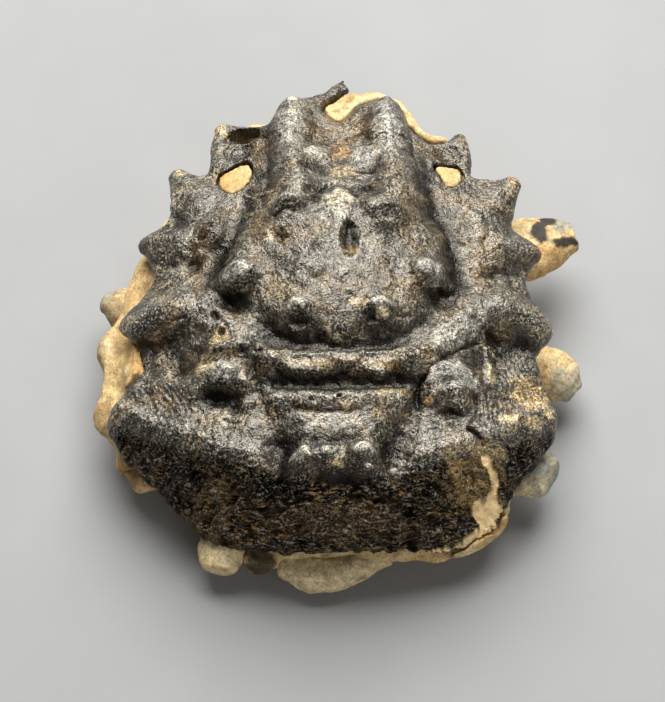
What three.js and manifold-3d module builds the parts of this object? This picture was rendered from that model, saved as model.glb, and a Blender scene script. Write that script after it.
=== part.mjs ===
// A fossil crab: the domed, spiny carapace of a crab, still seated on the sandstone it was found in, with
// seven broken pieces of its legs sticking out around the edge. Millimetres, +Z up. +Y points to the crab's
// front and +X to the right of someone looking down on it with the front away from them.
// The origin is on the resting plane, under the middle of the outline.
import * as THREE from "three";
import { mergeVertices } from "three/addons/utils/BufferGeometryUtils.js";
import Module from "manifold-3d";

const wasm = await Module();
wasm.setup();

// ---------------------------------------------------------------- driving dimensions
const CROWN_HEIGHT = 20.4; // of the plain dome, before its swellings
const HALF_WIDTH = 23.5;
const SIDE_FALL = 7.8; // how far the dome has dropped at HALF_WIDTH
const SIDE_POWER = 2.3;
const SUMMIT_Y = -4;
const FRONT_FALL = 0.0066; // drop per mm squared, ahead of the summit and behind it
const CREST_Y = -22.4; // where the back breaks down steeply, on the midline
const CREST_SWEEP = 0.12; // how far forward the break runs, per mm to the side
const CREST_CURL = 0.0105; // and per mm squared
const BACK_STEEPNESS = 1.9; // drop per mm on the midline
const BACK_EASING = 0.0264; // less drop per mm to the side
const BREAK_ROUNDING = 2;
const SHELL = 1.8; // carapace thickness under its plain dome
const DEEPEST_GROOVE = 1.0; // the relief never cuts deeper than this
const RIM_LIFT = { rise: 0.7, fromRing: 1.6 }; // the carapace thins towards its edge
const SEAT_GAP = 0.3; // between the carapace and the stone under it
const LIMB_GAP = 0.35; // around each leg piece in the stone

// The grid the carapace is drawn on: spokes round the outline, and rings that follow the bell-shaped middle
// out to the edge. Ring positions run from 0 in the middle, through 1 on the bell, to 2 on the edge.
const SPOKES = 82;
const TOP_RINGS = [
  0, 0.14, 0.28, 0.42, 0.55, 0.67, 0.78, 0.88, 0.95, 1,
  1.07, 1.15, 1.24, 1.33, 1.42, 1.52, 1.62, 1.72, 1.82, 1.91, 2,
];
const UNDER_RINGS = [0, 0.5, 1, 1.35, 1.65, 1.88, 2];
const ROOM_RINGS = [...UNDER_RINGS, 2.5]; // the room cut in the stone reaches half as far again
// Towards the middle the rings use every second spoke and then every third, so that faces stay well shaped.
const TOP_STEPS = { second: 0.8, third: 0.5 };
const UNDER_STEPS = { second: 1.7, third: 1.1 };
const MIDDLE = new THREE.Vector2(0, -1);

// ---------------------------------------------------------------- relief of the carapace
// Swellings: place, half widths, turn in degrees, rise. A negative rise is a hollow.
const SWELLINGS = [
  { name: "gastric crown", at: [0, 3.5], size: [7.5, 9], turn: 0, rise: 1.0 },
  { name: "middle ridge", at: [0.4, 9.4], size: [1.9, 3.8], turn: 0, rise: 0.8 },
  { name: "middle pit", at: [1.2, 3.7], size: [0.9, 1.3], turn: 0, rise: -1.1 },
  { name: "left frontal", at: [-2.7, 16.6], size: [1.3, 1.4], turn: 0, rise: 1.3 },
  { name: "right frontal", at: [2.4, 16.4], size: [1.4, 1.5], turn: 0, rise: 1.2 },
  { name: "left protogastric", at: [-5.8, 9.0], size: [1.5, 1.3], turn: 0, rise: 1.7 },
  { name: "right protogastric", at: [5.0, 7.6], size: [2.1, 1.8], turn: 0, rise: 1.7 },
  { name: "left mesogastric", at: [-10.9, 1.4], size: [2.2, 2.0], turn: 0, rise: 2.4 },
  { name: "right mesogastric", at: [9.8, 1.2], size: [2.2, 2.0], turn: 0, rise: 2.3 },
  { name: "left metagastric", at: [-4.4, -4.6], size: [1.4, 1.3], turn: 0, rise: 1.6 },
  { name: "right metagastric", at: [4.1, -4.7], size: [1.4, 1.3], turn: 0, rise: 1.7 },
  { name: "dip round the left mesogastric", at: [-9.2, 0.6], size: [3.6, 3.4], turn: 0, rise: -0.9 },
  { name: "dip round the right mesogastric", at: [9.2, 1.0], size: [3.6, 3.4], turn: 0, rise: -0.9 },
  { name: "left hepatic", at: [-14.2, 7.9], size: [2.2, 1.9], turn: 20, rise: 1.9 },
  { name: "right hepatic", at: [16.2, 7.2], size: [1.6, 3.2], turn: 10, rise: 1.4 },
  { name: "left crater", at: [-12.7, -5.6], size: [0.9, 0.9], turn: 0, rise: -1.0 },
  { name: "left branchial", at: [-12.6, -10.6], size: [2.9, 1.7], turn: -15, rise: 1.9 },
  { name: "right branchial", at: [12.0, -11.4], size: [2.5, 2.2], turn: 0, rise: 1.8 },
  { name: "left branchial hollow", at: [-18.2, -6.8], size: [3.0, 2.8], turn: 0, rise: -0.8 },
  { name: "right branchial hollow", at: [17.8, -6.8], size: [2.8, 2.4], turn: 0, rise: -0.8 },
  { name: "cardiac", at: [-0.2, -17.4], size: [4.6, 3.0], turn: 0, rise: 0.5 },
  { name: "left cardiac knob", at: [-3.8, -20.9], size: [1.2, 1.3], turn: 0, rise: 2.2 },
  { name: "middle cardiac knob", at: [-1.1, -20.2], size: [1.0, 1.1], turn: 0, rise: 1.5 },
  { name: "right cardiac knob", at: [2.8, -20.4], size: [1.4, 1.4], turn: 0, rise: 2.4 },
  { name: "hollow under the knobs", at: [0.1, -22.8], size: [2.6, 1.1], turn: 0, rise: -1.2 },
  { name: "lower back", at: [0, -26], size: [11, 2.6], turn: 0, rise: 0.6 },
];

// Ridges along a line, and grooves where rise is negative.
const RIDGES = [
  { name: "left horn", line: [[-5.2, 24.2], [-5.8, 20], [-5.4, 15.5], [-4.8, 11.5]], half: 2.2, rise: 2.0 },
  { name: "right horn", line: [[5.4, 24.2], [6.0, 19.5], [6.6, 15], [6.7, 11]], half: 2.3, rise: 2.0 },
  {
    name: "left branchial arch",
    line: [[-23, -2.2], [-18.4, -1.8], [-14, -2.2], [-11, -5.2]],
    half: 2.7,
    rise: 1.4,
  },
  {
    name: "right branchial arch",
    line: [[23, -2.4], [18.2, -1.3], [14.3, -2.8], [9.3, -7.5]],
    half: 2.7,
    rise: 1.4,
  },
  { name: "left knobbly ridge", line: [[-13, -7.4], [-10.4, -7.8], [-7.4, -9.4]], half: 0.9, rise: 0.9 },
  { name: "transverse fold", line: [[-7.4, -9.3], [0, -9.6], [7.6, -9.2]], half: 1.0, rise: 1.1 },
  { name: "fold groove", line: [[-6.6, -11.4], [0, -11.6], [6.4, -11.3]], half: 0.8, rise: -1.0 },
  { name: "rear fold", line: [[-6.8, -13.3], [0, -13.7], [6.6, -13.3]], half: 1.1, rise: 0.55 },
  {
    name: "left cardiac groove",
    line: [[-8.8, -11], [-7.9, -14.5], [-6.4, -18.4], [-5.9, -20.4]],
    half: 1.4,
    rise: -0.8,
  },
  {
    name: "right cardiac groove",
    line: [[8.3, -11.5], [7.4, -16.1], [6.0, -18.4], [5.2, -20.4]],
    half: 1.2,
    rise: -0.9,
  },
  {
    name: "left crest",
    line: [[-24, -12.2], [-19, -15.4], [-13, -18.6], [-8.5, -20.6]],
    half: 1.5,
    rise: 0.9,
  },
  {
    name: "right crest",
    line: [[23, -12.5], [19, -15.2], [15, -17.4], [9.2, -20.0]],
    half: 1.5,
    rise: 0.9,
  },
];

// The raised middle of the carapace, shaped like a bell, and the groove round it.
const BELL = [
  [-8.0, 19.5], [-9.6, 15.5], [-10.2, 10.4], [-12.2, 5.6], [-13.7, 1.2], [-12.6, -1.6], [-10.6, -3.4],
  [-8.0, -5.4], [-5.4, -7.1], [0, -8.1], [6.0, -7.2], [8.6, -5.6], [10.8, -3.4], [12.5, -0.8], [12.9, 1.8],
  [12.2, 6.0], [10.2, 10.6], [9.4, 15.5], [8.2, 19.5], [0, 20.5],
];
const BELL_RISE = 1.9;
const BELL_ROUNDNESS = 3.2; // the higher, the steeper it starts at its edge
// Width of the bell's flank: narrower at the back, wider from the middle forwards.
const BELL_FLANK = { back: 6, backY: -5.5, front: 7.5, frontY: 0.5 };
const BELL_GROOVE = { half: 1.8, rise: -0.6 };
const BELL_FADE = { from: 8, to: 19, loss: 1 }; // it fades out towards the front

// The edge of the carapace, going round from the front by way of +X.
const MARGIN = [
  [0, 22.8], [2.2, 24.2], [4.0, 25.0], [5.6, 25.1], [7.2, 23.6], [8.4, 21.4],
  [10.0, 20.2], [11.8, 20.6], [13.6, 21.2], [14.5, 18.8], [15.0, 16.4], [16.6, 15.9],
  [18.8, 15.2], [19.3, 12.6], [19.2, 10.2], [20.7, 8.4], [21.2, 6.6], [20.8, 4.2],
  [21.2, 1.8], [22.2, -1.0], [22.6, -3.2], [21.9, -5.4], [22.1, -7.8], [23.4, -10.6],
  [23.9, -12.8], [22.6, -15.8], [18.8, -19.6], [16.4, -20.6], [14.4, -23.4], [12.2, -25.7],
  [6.6, -26.5], [0, -26.9], [-7.4, -26.6], [-13.6, -25.0], [-17.0, -22.3], [-20.4, -19.1],
  [-24, -15.2], [-25.4, -12.4], [-23.6, -9.8], [-21.7, -7.2], [-22.2, -4.2], [-22.8, -1.4],
  [-21.6, 1.2], [-20.6, 3.4], [-20.7, 6.0], [-20.6, 8.2], [-19.0, 9.8], [-18.4, 12.6],
  [-17.4, 15.6], [-15.4, 15.8], [-14.2, 17.6], [-13.8, 21.6], [-12.4, 22.4], [-10.2, 21.9],
  [-8.2, 21.8], [-7.0, 23.4], [-5.4, 25.0], [-3.4, 24.8], [-1.4, 23.8],
];

// Thorns: where each grows from, its tip, and half its width and height where it is thickest.
const THORNS = [
  { name: "rostrum", from: [-3.0, 23.0], tip: [0.6, 29.5, 13.0], wide: 1.5, tall: 1.3 },
  { name: "left horn", from: [-5.0, 20.8], tip: [-5.3, 25.9, 15.8], wide: 2.2, tall: 1.6 },
  { name: "right horn", from: [5.1, 20.6], tip: [5.4, 25.7, 15.8], wide: 2.2, tall: 1.6 },
  { name: "left orbital", from: [-13.1, 17.4], tip: [-13.4, 23.6, 13.8], wide: 1.1, tall: 1.2 },
  { name: "left orbital rim", from: [-8.4, 21.0], tip: [-13.6, 22.7, 13.9], wide: 0.8, tall: 1.0 },
  { name: "right orbital", from: [13.2, 16.6], tip: [14.1, 22.4, 13.8], wide: 1.5, tall: 1.2 },
  { name: "left first lateral", from: [-15.2, 11.6], tip: [-18.8, 17.6, 13.8], wide: 2.9, tall: 1.9 },
  { name: "right first lateral", from: [16.2, 11.2], tip: [20.3, 16.5, 13.8], wide: 2.9, tall: 1.9 },
  { name: "left second lateral", from: [-17.2, 7.2], tip: [-22.6, 8.5, 12.8], wide: 2.9, tall: 2.0 },
  { name: "right second lateral", from: [17.4, 6.2], tip: [22.9, 7.5, 12.8], wide: 2.9, tall: 2.0 },
  { name: "left third lateral", from: [-18.0, -1.8], tip: [-24.5, -1.9, 12.4], wide: 3.2, tall: 2.2 },
  { name: "right third lateral", from: [18.0, -2.2], tip: [23.9, -2.6, 12.4], wide: 3.2, tall: 2.2 },
];
// Share of the thorn's length, then of its thickness, from its blunt buried end to its tip.
const THORN_PROFILE = [[-0.34, 0], [-0.26, 0.6], [0, 1], [0.35, 0.86], [0.64, 0.54], [0.9, 0.25], [1, 0]];
const THORN_SIDES = 8;
const THORN_SINK = 0.9; // the thickest part lies this share of its height under the surface

// An eye socket, and two places where the carapace is broken through: place, then half widths and depth.
const WINDOWS = [
  { name: "left orbit", at: [-10.3, 20.2], size: [1.7, 0.8, 1.0] },
  { name: "left window", at: [-11.4, 16.0], size: [1.9, 1.5, 4] },
  { name: "right window", at: [12.9, 15.9], size: [1.8, 1.1, 4] },
];
const WINDOW_SIDES = 14;

// ---------------------------------------------------------------- the stone
// Its widest line, going round like MARGIN, as x, y and height.
const STONE_BELT = [
  [0.6, 28.3, 12.0], [3.0, 27.3, 12.4], [6.0, 28.2, 12.2], [7.8, 27.0, 12.0], [8.8, 24.4, 11.8],
  [10.0, 22.0, 11.8], [12.4, 21.6, 11.6], [14.6, 18.6, 11.0], [18.2, 14.4, 10.4], [19.8, 8.0, 9.8],
  [20.8, 0, 9], [21.4, -8, 8.5], [22.4, -14.2, 7.6], [19.0, -19.6, 6.6], [18.0, -23.2, 5.8],
  [15.4, -25.2, 5.4], [11.4, -26.2, 5.2], [0, -26.6, 4.8], [-9, -26.0, 5], [-15.0, -22.8, 5.8],
  [-21.0, -17.4, 6.8], [-24.8, -13.6, 8.0], [-26.9, -10.6, 8.8], [-26.2, -6.0, 9], [-26.2, -2, 9.2],
  [-24.8, 1.5, 10.0], [-23.4, 6.0, 10.6], [-21.3, 10.4, 11.2], [-17.8, 15.4, 11.6], [-14.6, 18.8, 11.6],
  [-13.0, 21.6, 11.8], [-8.4, 23.0, 12.2], [-5.4, 25.4, 12.0], [-2.4, 27.2, 12.0],
];
const FOOT_SHARE = 0.74; // the foot's outline on the resting plane, as a share of the belt's
const FOOT_WAVE = { depth: 0.03, count: 5, start: 1 };
const WALL_BULGE = 1.9; // above 1 the wall stays out and then curls under
const SHOULDER_FROM = 0.8; // share of the way out where the stone's top starts down to the belt
const STONE_SPOKES = 52;
const STONE_RINGS = { top: 5, wall: 6, foot: 1 };

// ---------------------------------------------------------------- the leg pieces
// Sections from the stone outwards: centre x, y, z, then half width and half height.
const LIMBS = [
  {
    name: "claw_stub_right",
    sections: [
      [17.6, 9.6, 7.4, 3.4, 2.7],
      [22.2, 10.9, 7.6, 3.4, 2.7],
      [24.8, 11.6, 8.0, 2.5, 2.2],
      [26.5, 12.0, 8.3, 1.9, 1.6],
    ],
  },
  {
    name: "leg_stub_right_middle",
    sections: [
      [18.8, -2.8, 5.2, 2.9, 2.4],
      [23.4, -3.6, 5.0, 2.8, 2.4],
      [25.4, -4.9, 4.7, 2.5, 2.0],
      [26.3, -5.6, 4.5, 1.6, 1.4],
    ],
  },
  {
    name: "leg_stub_right_rear",
    sections: [[17.6, -13.4, 5.2, 2.6, 2.1], [21.2, -15.9, 5.6, 2.9, 2.4], [23.0, -16.8, 6.0, 2.4, 2.1]],
  },
  {
    name: "leg_stub_left_front",
    sections: [[-20.0, 1.8, 5.8, 2.5, 2.1], [-24.6, 4.0, 6.0, 2.2, 2.0], [-26.1, 4.6, 6.0, 1.4, 1.3]],
  },
  {
    name: "leg_stub_left_rear",
    sections: [[-17.4, -12.8, 4.6, 2.3, 1.9], [-20.8, -15.4, 4.9, 2.4, 2.1], [-22.5, -16.8, 5.0, 1.8, 1.6]],
  },
  {
    name: "leg_knuckle_rear_left",
    sections: [[-11.6, -20.6, 3.9, 2.2, 1.9], [-12.8, -24.6, 3.8, 2.5, 2.2], [-13.1, -26.6, 3.7, 2.0, 1.8]],
  },
  {
    name: "leg_stub_rear_middle",
    sections: [
      [-5.8, -25.8, 3.0, 1.8, 1.6],
      [-2.4, -27.0, 2.8, 2.1, 2.0],
      [1.5, -26.4, 2.9, 1.7, 1.7],
      [5.2, -25.3, 3.1, 0.9, 1.0],
    ],
  },
];
const LIMB_SIDES = 11;
const LIMB_RINGS = 8;
const LIMB_BULGE = 0.1; // the sides swell by this share of their radius
const LIMB_CAP = 0.6; // how far the rounded ends stand out
const LIMB_CLEARANCE = 0.5; // from the resting plane to the lowest leg piece

const COLOURS = { shell: 0x2c2620, stone: 0xcdb27c, limb: 0xbfa878 };
const ROUGHNESS = { shell: 0.4, stone: 0.9, limb: 0.8 };
const MERGE_WITHIN = 1e-4;

// ---------------------------------------------------------------- heights
const { smoothstep, lerp, clamp, degToRad } = THREE.MathUtils;

function smoothMin(a, b, width) {
  const blend = Math.max(width - Math.abs(a - b), 0) / width;
  return Math.min(a, b) - (blend * blend * width) / 4;
}

const closedCurve = (points) =>
  new THREE.CatmullRomCurve3(points.map(([x, y, z = 0]) => new THREE.Vector3(x, y, z)), true, "centripetal");

function swellingHeight({ at, size, turn, rise }, x, y) {
  const cos = Math.cos(degToRad(turn));
  const sin = Math.sin(degToRad(turn));
  const across = ((x - at[0]) * cos + (y - at[1]) * sin) / size[0];
  const along = ((y - at[1]) * cos - (x - at[0]) * sin) / size[1];
  return rise * Math.exp(-across * across - along * along);
}

function distanceToLine(line, x, y) {
  let nearest = Infinity;
  for (let i = 0; i + 1 < line.length; i++) {
    const [ax, ay] = line[i];
    const dx = line[i + 1][0] - ax;
    const dy = line[i + 1][1] - ay;
    const share = clamp(((x - ax) * dx + (y - ay) * dy) / (dx * dx + dy * dy), 0, 1);
    nearest = Math.min(nearest, Math.hypot(x - ax - share * dx, y - ay - share * dy));
  }
  return nearest;
}

function ridgeHeight({ line, half, rise }, x, y) {
  return rise * Math.exp(-((distanceToLine(line, x, y) / half) ** 2));
}

const bellLine = closedCurve(BELL).getPoints(64).map((p) => [p.x, p.y]);

function isInside(outline, x, y) {
  let inside = false;
  for (let i = 0; i + 1 < outline.length; i++) {
    const [ax, ay] = outline[i];
    const [bx, by] = outline[i + 1];
    if (ay > y !== by > y && x < ((bx - ax) * (y - ay)) / (by - ay) + ax) inside = !inside;
  }
  return inside;
}

function bellHeight(x, y) {
  const distance = distanceToLine(bellLine, x, y);
  const groove = BELL_GROOVE.rise * Math.exp(-((distance / BELL_GROOVE.half) ** 2));
  const flank = lerp(BELL_FLANK.back, BELL_FLANK.front, smoothstep(y, BELL_FLANK.backY, BELL_FLANK.frontY));
  const share = isInside(bellLine, x, y) ? Math.min(distance / flank, 1) : 0;
  const plateau = BELL_RISE * (1 - (1 - share) ** BELL_ROUNDNESS);
  return (groove + plateau) * (1 - BELL_FADE.loss * smoothstep(y, BELL_FADE.from, BELL_FADE.to));
}

function domeHeight(x, y) {
  const side = SIDE_FALL * Math.pow(Math.abs(x) / HALF_WIDTH, SIDE_POWER);
  return CROWN_HEIGHT - side - FRONT_FALL * (y - SUMMIT_Y) ** 2;
}

// The dome, broken down into a steep slope behind the crest.
function plainHeight(x, y) {
  const crest = CREST_Y + CREST_SWEEP * Math.abs(x) + CREST_CURL * x * x;
  const back = domeHeight(x, crest) - (BACK_STEEPNESS - BACK_EASING * Math.abs(x)) * (crest - y);
  return smoothMin(domeHeight(x, y), back, BREAK_ROUNDING);
}

function topHeight(x, y) {
  let relief = bellHeight(x, y);
  for (const swelling of SWELLINGS) relief += swellingHeight(swelling, x, y);
  for (const ridge of RIDGES) relief += ridgeHeight(ridge, x, y);
  return plainHeight(x, y) + Math.max(relief, -DEEPEST_GROOVE);
}

// The carapace's underside, which the top of the stone follows with a gap.
function seatHeight(x, y, ring = 0) {
  return plainHeight(x, y) - SHELL + RIM_LIFT.rise * smoothstep(ring, RIM_LIFT.fromRing, 2);
}

// ---------------------------------------------------------------- solids
function toSolid(geometry) {
  geometry.deleteAttribute("normal");
  geometry.deleteAttribute("uv");
  const merged = mergeVertices(geometry, MERGE_WITHIN);
  const vertProperties = new Float32Array(merged.attributes.position.array);
  const corners = merged.index.array;
  const kept = [];
  for (let i = 0; i < corners.length; i += 3) {
    const [a, b, c] = corners.slice(i, i + 3);
    if (a !== b && b !== c && c !== a) kept.push(a, b, c);
  }
  const triVerts = new Uint32Array(kept);
  const solid = new wasm.Manifold(new wasm.Mesh({ numProp: 3, vertProperties, triVerts }));
  if (solid.volume() > 0) return solid;
  return new wasm.Manifold(new wasm.Mesh({ numProp: 3, vertProperties, triVerts: triVerts.reverse() }));
}

// A closed skin on a sphere's grid: place(column, ring, point) sets each point. Ring 0 and the last are
// the poles.
function skin(columns, rings, place) {
  const geometry = new THREE.SphereGeometry(1, columns, rings);
  const position = geometry.attributes.position;
  const point = new THREE.Vector3();
  for (let i = 0; i < position.count; i++) {
    place((i % (columns + 1)) % columns, Math.floor(i / (columns + 1)), point);
    position.setXYZ(i, point.x, point.y, point.z);
  }
  return toSolid(geometry);
}

// How far from the middle a line towards (x, y) crosses an outline.
function crossing(outline, x, y) {
  const toEdge = new THREE.Vector2(x - MIDDLE.x, y - MIDDLE.y).normalize();
  for (let i = 0; i + 1 < outline.length; i++) {
    const ax = outline[i][0] - MIDDLE.x;
    const ay = outline[i][1] - MIDDLE.y;
    const dx = outline[i + 1][0] - MIDDLE.x - ax;
    const dy = outline[i + 1][1] - MIDDLE.y - ay;
    const slant = toEdge.x * dy - toEdge.y * dx;
    const share = (toEdge.y * ax - toEdge.x * ay) / slant;
    const reach = (ax * dy - ay * dx) / slant;
    if (share >= 0 && share <= 1 && reach > 0) return reach;
  }
  throw new Error(`no crossing towards ${x}, ${y}`);
}

const marginCurve = closedCurve(MARGIN);
const spokes = Array.from({ length: SPOKES }, (_, i) => {
  const edge = marginCurve.getPointAt(i / SPOKES);
  const reach = Math.hypot(edge.x - MIDDLE.x, edge.y - MIDDLE.y);
  const bell = crossing(bellLine, edge.x, edge.y);
  return { x: (edge.x - MIDDLE.x) / reach, y: (edge.y - MIDDLE.y) / reach, bell, reach };
});

function spokeOf(column, ring, steps) {
  const step = ring < steps.third ? 3 : ring < steps.second ? 2 : 1;
  return spokes[column - (column % step)];
}

function distanceOut(spoke, ring) {
  if (ring < 1) return spoke.bell * ring;
  if (ring < 2) return lerp(spoke.bell, spoke.reach, ring - 1);
  return spoke.reach * (ring - 1);
}

// A sheet over the carapace's outline between two height functions, which are given x, y and the ring.
function sheetSolid(topRings, underRings, top, under) {
  const rings = [...topRings, ...underRings.toReversed()];
  return skin(SPOKES, rings.length - 1, (column, index, point) => {
    const ring = rings[index];
    const isTop = index < topRings.length;
    const spoke = spokeOf(column, ring, isTop ? TOP_STEPS : UNDER_STEPS);
    const distance = distanceOut(spoke, ring);
    const x = MIDDLE.x + spoke.x * distance;
    const y = MIDDLE.y + spoke.y * distance;
    point.set(x, y, isTop ? top(x, y, ring) : under(x, y, ring));
  });
}

// A thorn: a lathed profile laid along its own axis and flattened to its half width and height.
function thornSolid({ from, tip, wide, tall }) {
  const start = new THREE.Vector3(...from, topHeight(...from) - tall * THORN_SINK);
  const along = new THREE.Vector3(...tip).sub(start);
  const sideways = new THREE.Vector3(-along.y, along.x, 0).normalize();
  const upwards = new THREE.Vector3().crossVectors(along, sideways).normalize();
  const profile = THORN_PROFILE.map(([share, thickness]) => new THREE.Vector2(thickness, share));
  const geometry = new THREE.LatheGeometry(profile, THORN_SIDES);
  sideways.multiplyScalar(wide);
  upwards.multiplyScalar(-tall);
  const placing = new THREE.Matrix4().makeBasis(sideways, along, upwards).setPosition(start);
  geometry.applyMatrix4(placing);
  return toSolid(geometry);
}

function windowSolid({ at, size }) {
  const geometry = new THREE.SphereGeometry(1, WINDOW_SIDES, WINDOW_SIDES / 2).rotateX(Math.PI / 2);
  return toSolid(geometry.scale(...size).translate(...at, topHeight(...at)));
}

// A leg piece: rounded sections along a curved line, closed by low caps.
function limbSolid({ sections }, grow = 0) {
  const centres = new THREE.CatmullRomCurve3(sections.map(([x, y, z]) => new THREE.Vector3(x, y, z)));
  const last = sections.length - 1;
  return skin(LIMB_SIDES, LIMB_RINGS, (column, ring, point) => {
    const share = clamp((ring - 1) / (LIMB_RINGS - 2), 0, 1);
    const isPole = ring === 0 || ring === LIMB_RINGS;
    const along = centres.getTangent(share);
    const side = new THREE.Vector3(-along.y, along.x, 0).normalize();
    const before = Math.min(Math.floor(share * last), last - 1);
    const mix = share * last - before;
    const bulge = 1 + LIMB_BULGE * Math.sin(Math.PI * share);
    const halfOf = (which) => lerp(sections[before][which], sections[before + 1][which], mix) * bulge + grow;
    const wide = isPole ? 0 : halfOf(3);
    const tall = isPole ? 0 : halfOf(4);
    const angle = (column / LIMB_SIDES) * 2 * Math.PI;
    centres.getPoint(share, point);
    if (isPole) point.addScaledVector(along, (LIMB_CAP + grow) * (ring === 0 ? -1 : 1));
    point.addScaledVector(side, Math.cos(angle) * wide);
    point.z = Math.max(point.z + Math.sin(angle) * tall, LIMB_CLEARANCE - grow);
  });
}

// The stone before anything is cut out of it: a top that reaches above the seat, a wall, and a flat foot.
function stoneSolid() {
  const belt = closedCurve(STONE_BELT);
  const { top, wall, foot } = STONE_RINGS;
  const rings = top + wall + foot;
  return skin(STONE_SPOKES, rings, (column, ring, point) => {
    const edge = belt.getPointAt(column / STONE_SPOKES);
    const angle = (column / STONE_SPOKES) * 2 * Math.PI;
    const wave = Math.sin(FOOT_WAVE.count * angle + FOOT_WAVE.start);
    const footSpread = FOOT_SHARE * (1 + FOOT_WAVE.depth * wave);
    const down = (ring - top) / wall;
    let spread = (footSpread * (rings - ring)) / foot;
    if (ring < top) spread = ring / top;
    else if (ring <= top + wall) spread = lerp(1, footSpread, Math.pow(down, WALL_BULGE));
    const x = lerp(MIDDLE.x, edge.x, spread);
    const y = lerp(MIDDLE.y, edge.y, spread);
    const shoulder = smoothstep(spread, SHOULDER_FROM, 1);
    const onTop = lerp(seatHeight(x, y) + SEAT_GAP, edge.z, shoulder);
    const onWall = edge.z * Math.max(1 - down, 0);
    point.set(x, y, ring <= top ? onTop : onWall);
  });
}

// ---------------------------------------------------------------- assembly
const wayAbove = () => 2 * CROWN_HEIGHT;
const lidRings = [0, 1, 2, ROOM_RINGS.at(-1)];
const aboveSeat = sheetSolid(lidRings, ROOM_RINGS, wayAbove, seatHeight);
const aboveStone = sheetSolid(lidRings, ROOM_RINGS, wayAbove, (...at) => seatHeight(...at) - SEAT_GAP);

let carapace = sheetSolid(TOP_RINGS, UNDER_RINGS, topHeight, seatHeight);
for (const thorn of THORNS) carapace = carapace.add(thornSolid(thorn).intersect(aboveSeat));
for (const window of WINDOWS) carapace = carapace.subtract(windowSolid(window));

let matrix = stoneSolid().subtract(aboveStone);
for (const limb of LIMBS) matrix = matrix.subtract(limbSolid(limb, LIMB_GAP));

function toMesh(name, solid, color, roughness) {
  const { vertProperties, triVerts } = solid.getMesh();
  const geometry = new THREE.BufferGeometry()
    .setAttribute("position", new THREE.BufferAttribute(vertProperties, 3))
    .setIndex(new THREE.BufferAttribute(triVerts, 1));
  geometry.computeVertexNormals();
  const mesh = new THREE.Mesh(geometry, new THREE.MeshStandardMaterial({ color, roughness, metalness: 0 }));
  mesh.name = name;
  return mesh;
}

const crab = new THREE.Group();
crab.add(toMesh("carapace", carapace, COLOURS.shell, ROUGHNESS.shell));
crab.add(toMesh("matrix", matrix, COLOURS.stone, ROUGHNESS.stone));
for (const limb of LIMBS) {
  crab.add(toMesh(limb.name, limbSolid(limb).subtract(aboveStone), COLOURS.limb, ROUGHNESS.limb));
}

export default crab;
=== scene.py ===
"""The looks of a fossil crab: a dark, glossy carapace on cream sandstone, with seven broken leg pieces.

Each piece is grown as a closed surface round a solid described by numbers, in millimetres, in the CAD frame:
+Y to the crab's front, +Z up, the origin on the resting plane. The mesh is then placed in metres.
"""

import math

import bpy
import numpy as np
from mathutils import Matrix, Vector


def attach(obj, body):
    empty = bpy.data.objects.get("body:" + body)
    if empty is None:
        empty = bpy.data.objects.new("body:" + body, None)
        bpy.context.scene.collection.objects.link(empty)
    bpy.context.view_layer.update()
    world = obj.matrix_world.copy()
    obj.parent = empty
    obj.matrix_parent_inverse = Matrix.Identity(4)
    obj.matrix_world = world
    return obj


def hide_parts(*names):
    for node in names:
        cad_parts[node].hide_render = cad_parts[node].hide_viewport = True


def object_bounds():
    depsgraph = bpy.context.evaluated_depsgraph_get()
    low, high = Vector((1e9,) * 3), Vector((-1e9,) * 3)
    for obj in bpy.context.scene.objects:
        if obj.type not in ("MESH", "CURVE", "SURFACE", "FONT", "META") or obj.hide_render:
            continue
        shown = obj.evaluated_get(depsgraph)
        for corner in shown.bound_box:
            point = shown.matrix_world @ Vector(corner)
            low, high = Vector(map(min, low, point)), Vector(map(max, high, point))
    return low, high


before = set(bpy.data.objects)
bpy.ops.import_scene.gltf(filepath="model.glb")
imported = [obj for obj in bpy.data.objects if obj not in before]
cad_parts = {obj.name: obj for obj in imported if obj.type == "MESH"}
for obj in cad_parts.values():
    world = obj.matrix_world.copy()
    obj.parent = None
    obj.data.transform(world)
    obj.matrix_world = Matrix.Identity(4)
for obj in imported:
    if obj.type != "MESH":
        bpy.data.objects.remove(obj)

CAD_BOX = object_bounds()
MM = 0.001  # metres in a millimetre

# ================================================================ the shape in numbers
# The dome, its crest, the bell and the leg pieces have the CAD part's numbers. Outlines, thorns, swellings
# and ridges follow the CAD part too, and are drawn more closely here.
CROWN_HEIGHT = 20.4
HALF_WIDTH = 23.5
SIDE_FALL = 7.8
SIDE_POWER = 2.3
SUMMIT_Y = -4.0
FRONT_FALL = 0.0066
CREST_Y = -22.4
CREST_SWEEP = 0.12
CREST_CURL = 0.0105
BACK_STEEPNESS = 1.9
BACK_EASING = 0.0264
BREAK_ROUNDING = 2.0
SHELL = 1.8
DEEPEST_GROOVE = 1.25
RIM_LIFT = 0.7
RIM_WIDTH = 5.0
SEAT_GAP = 0.3

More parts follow.
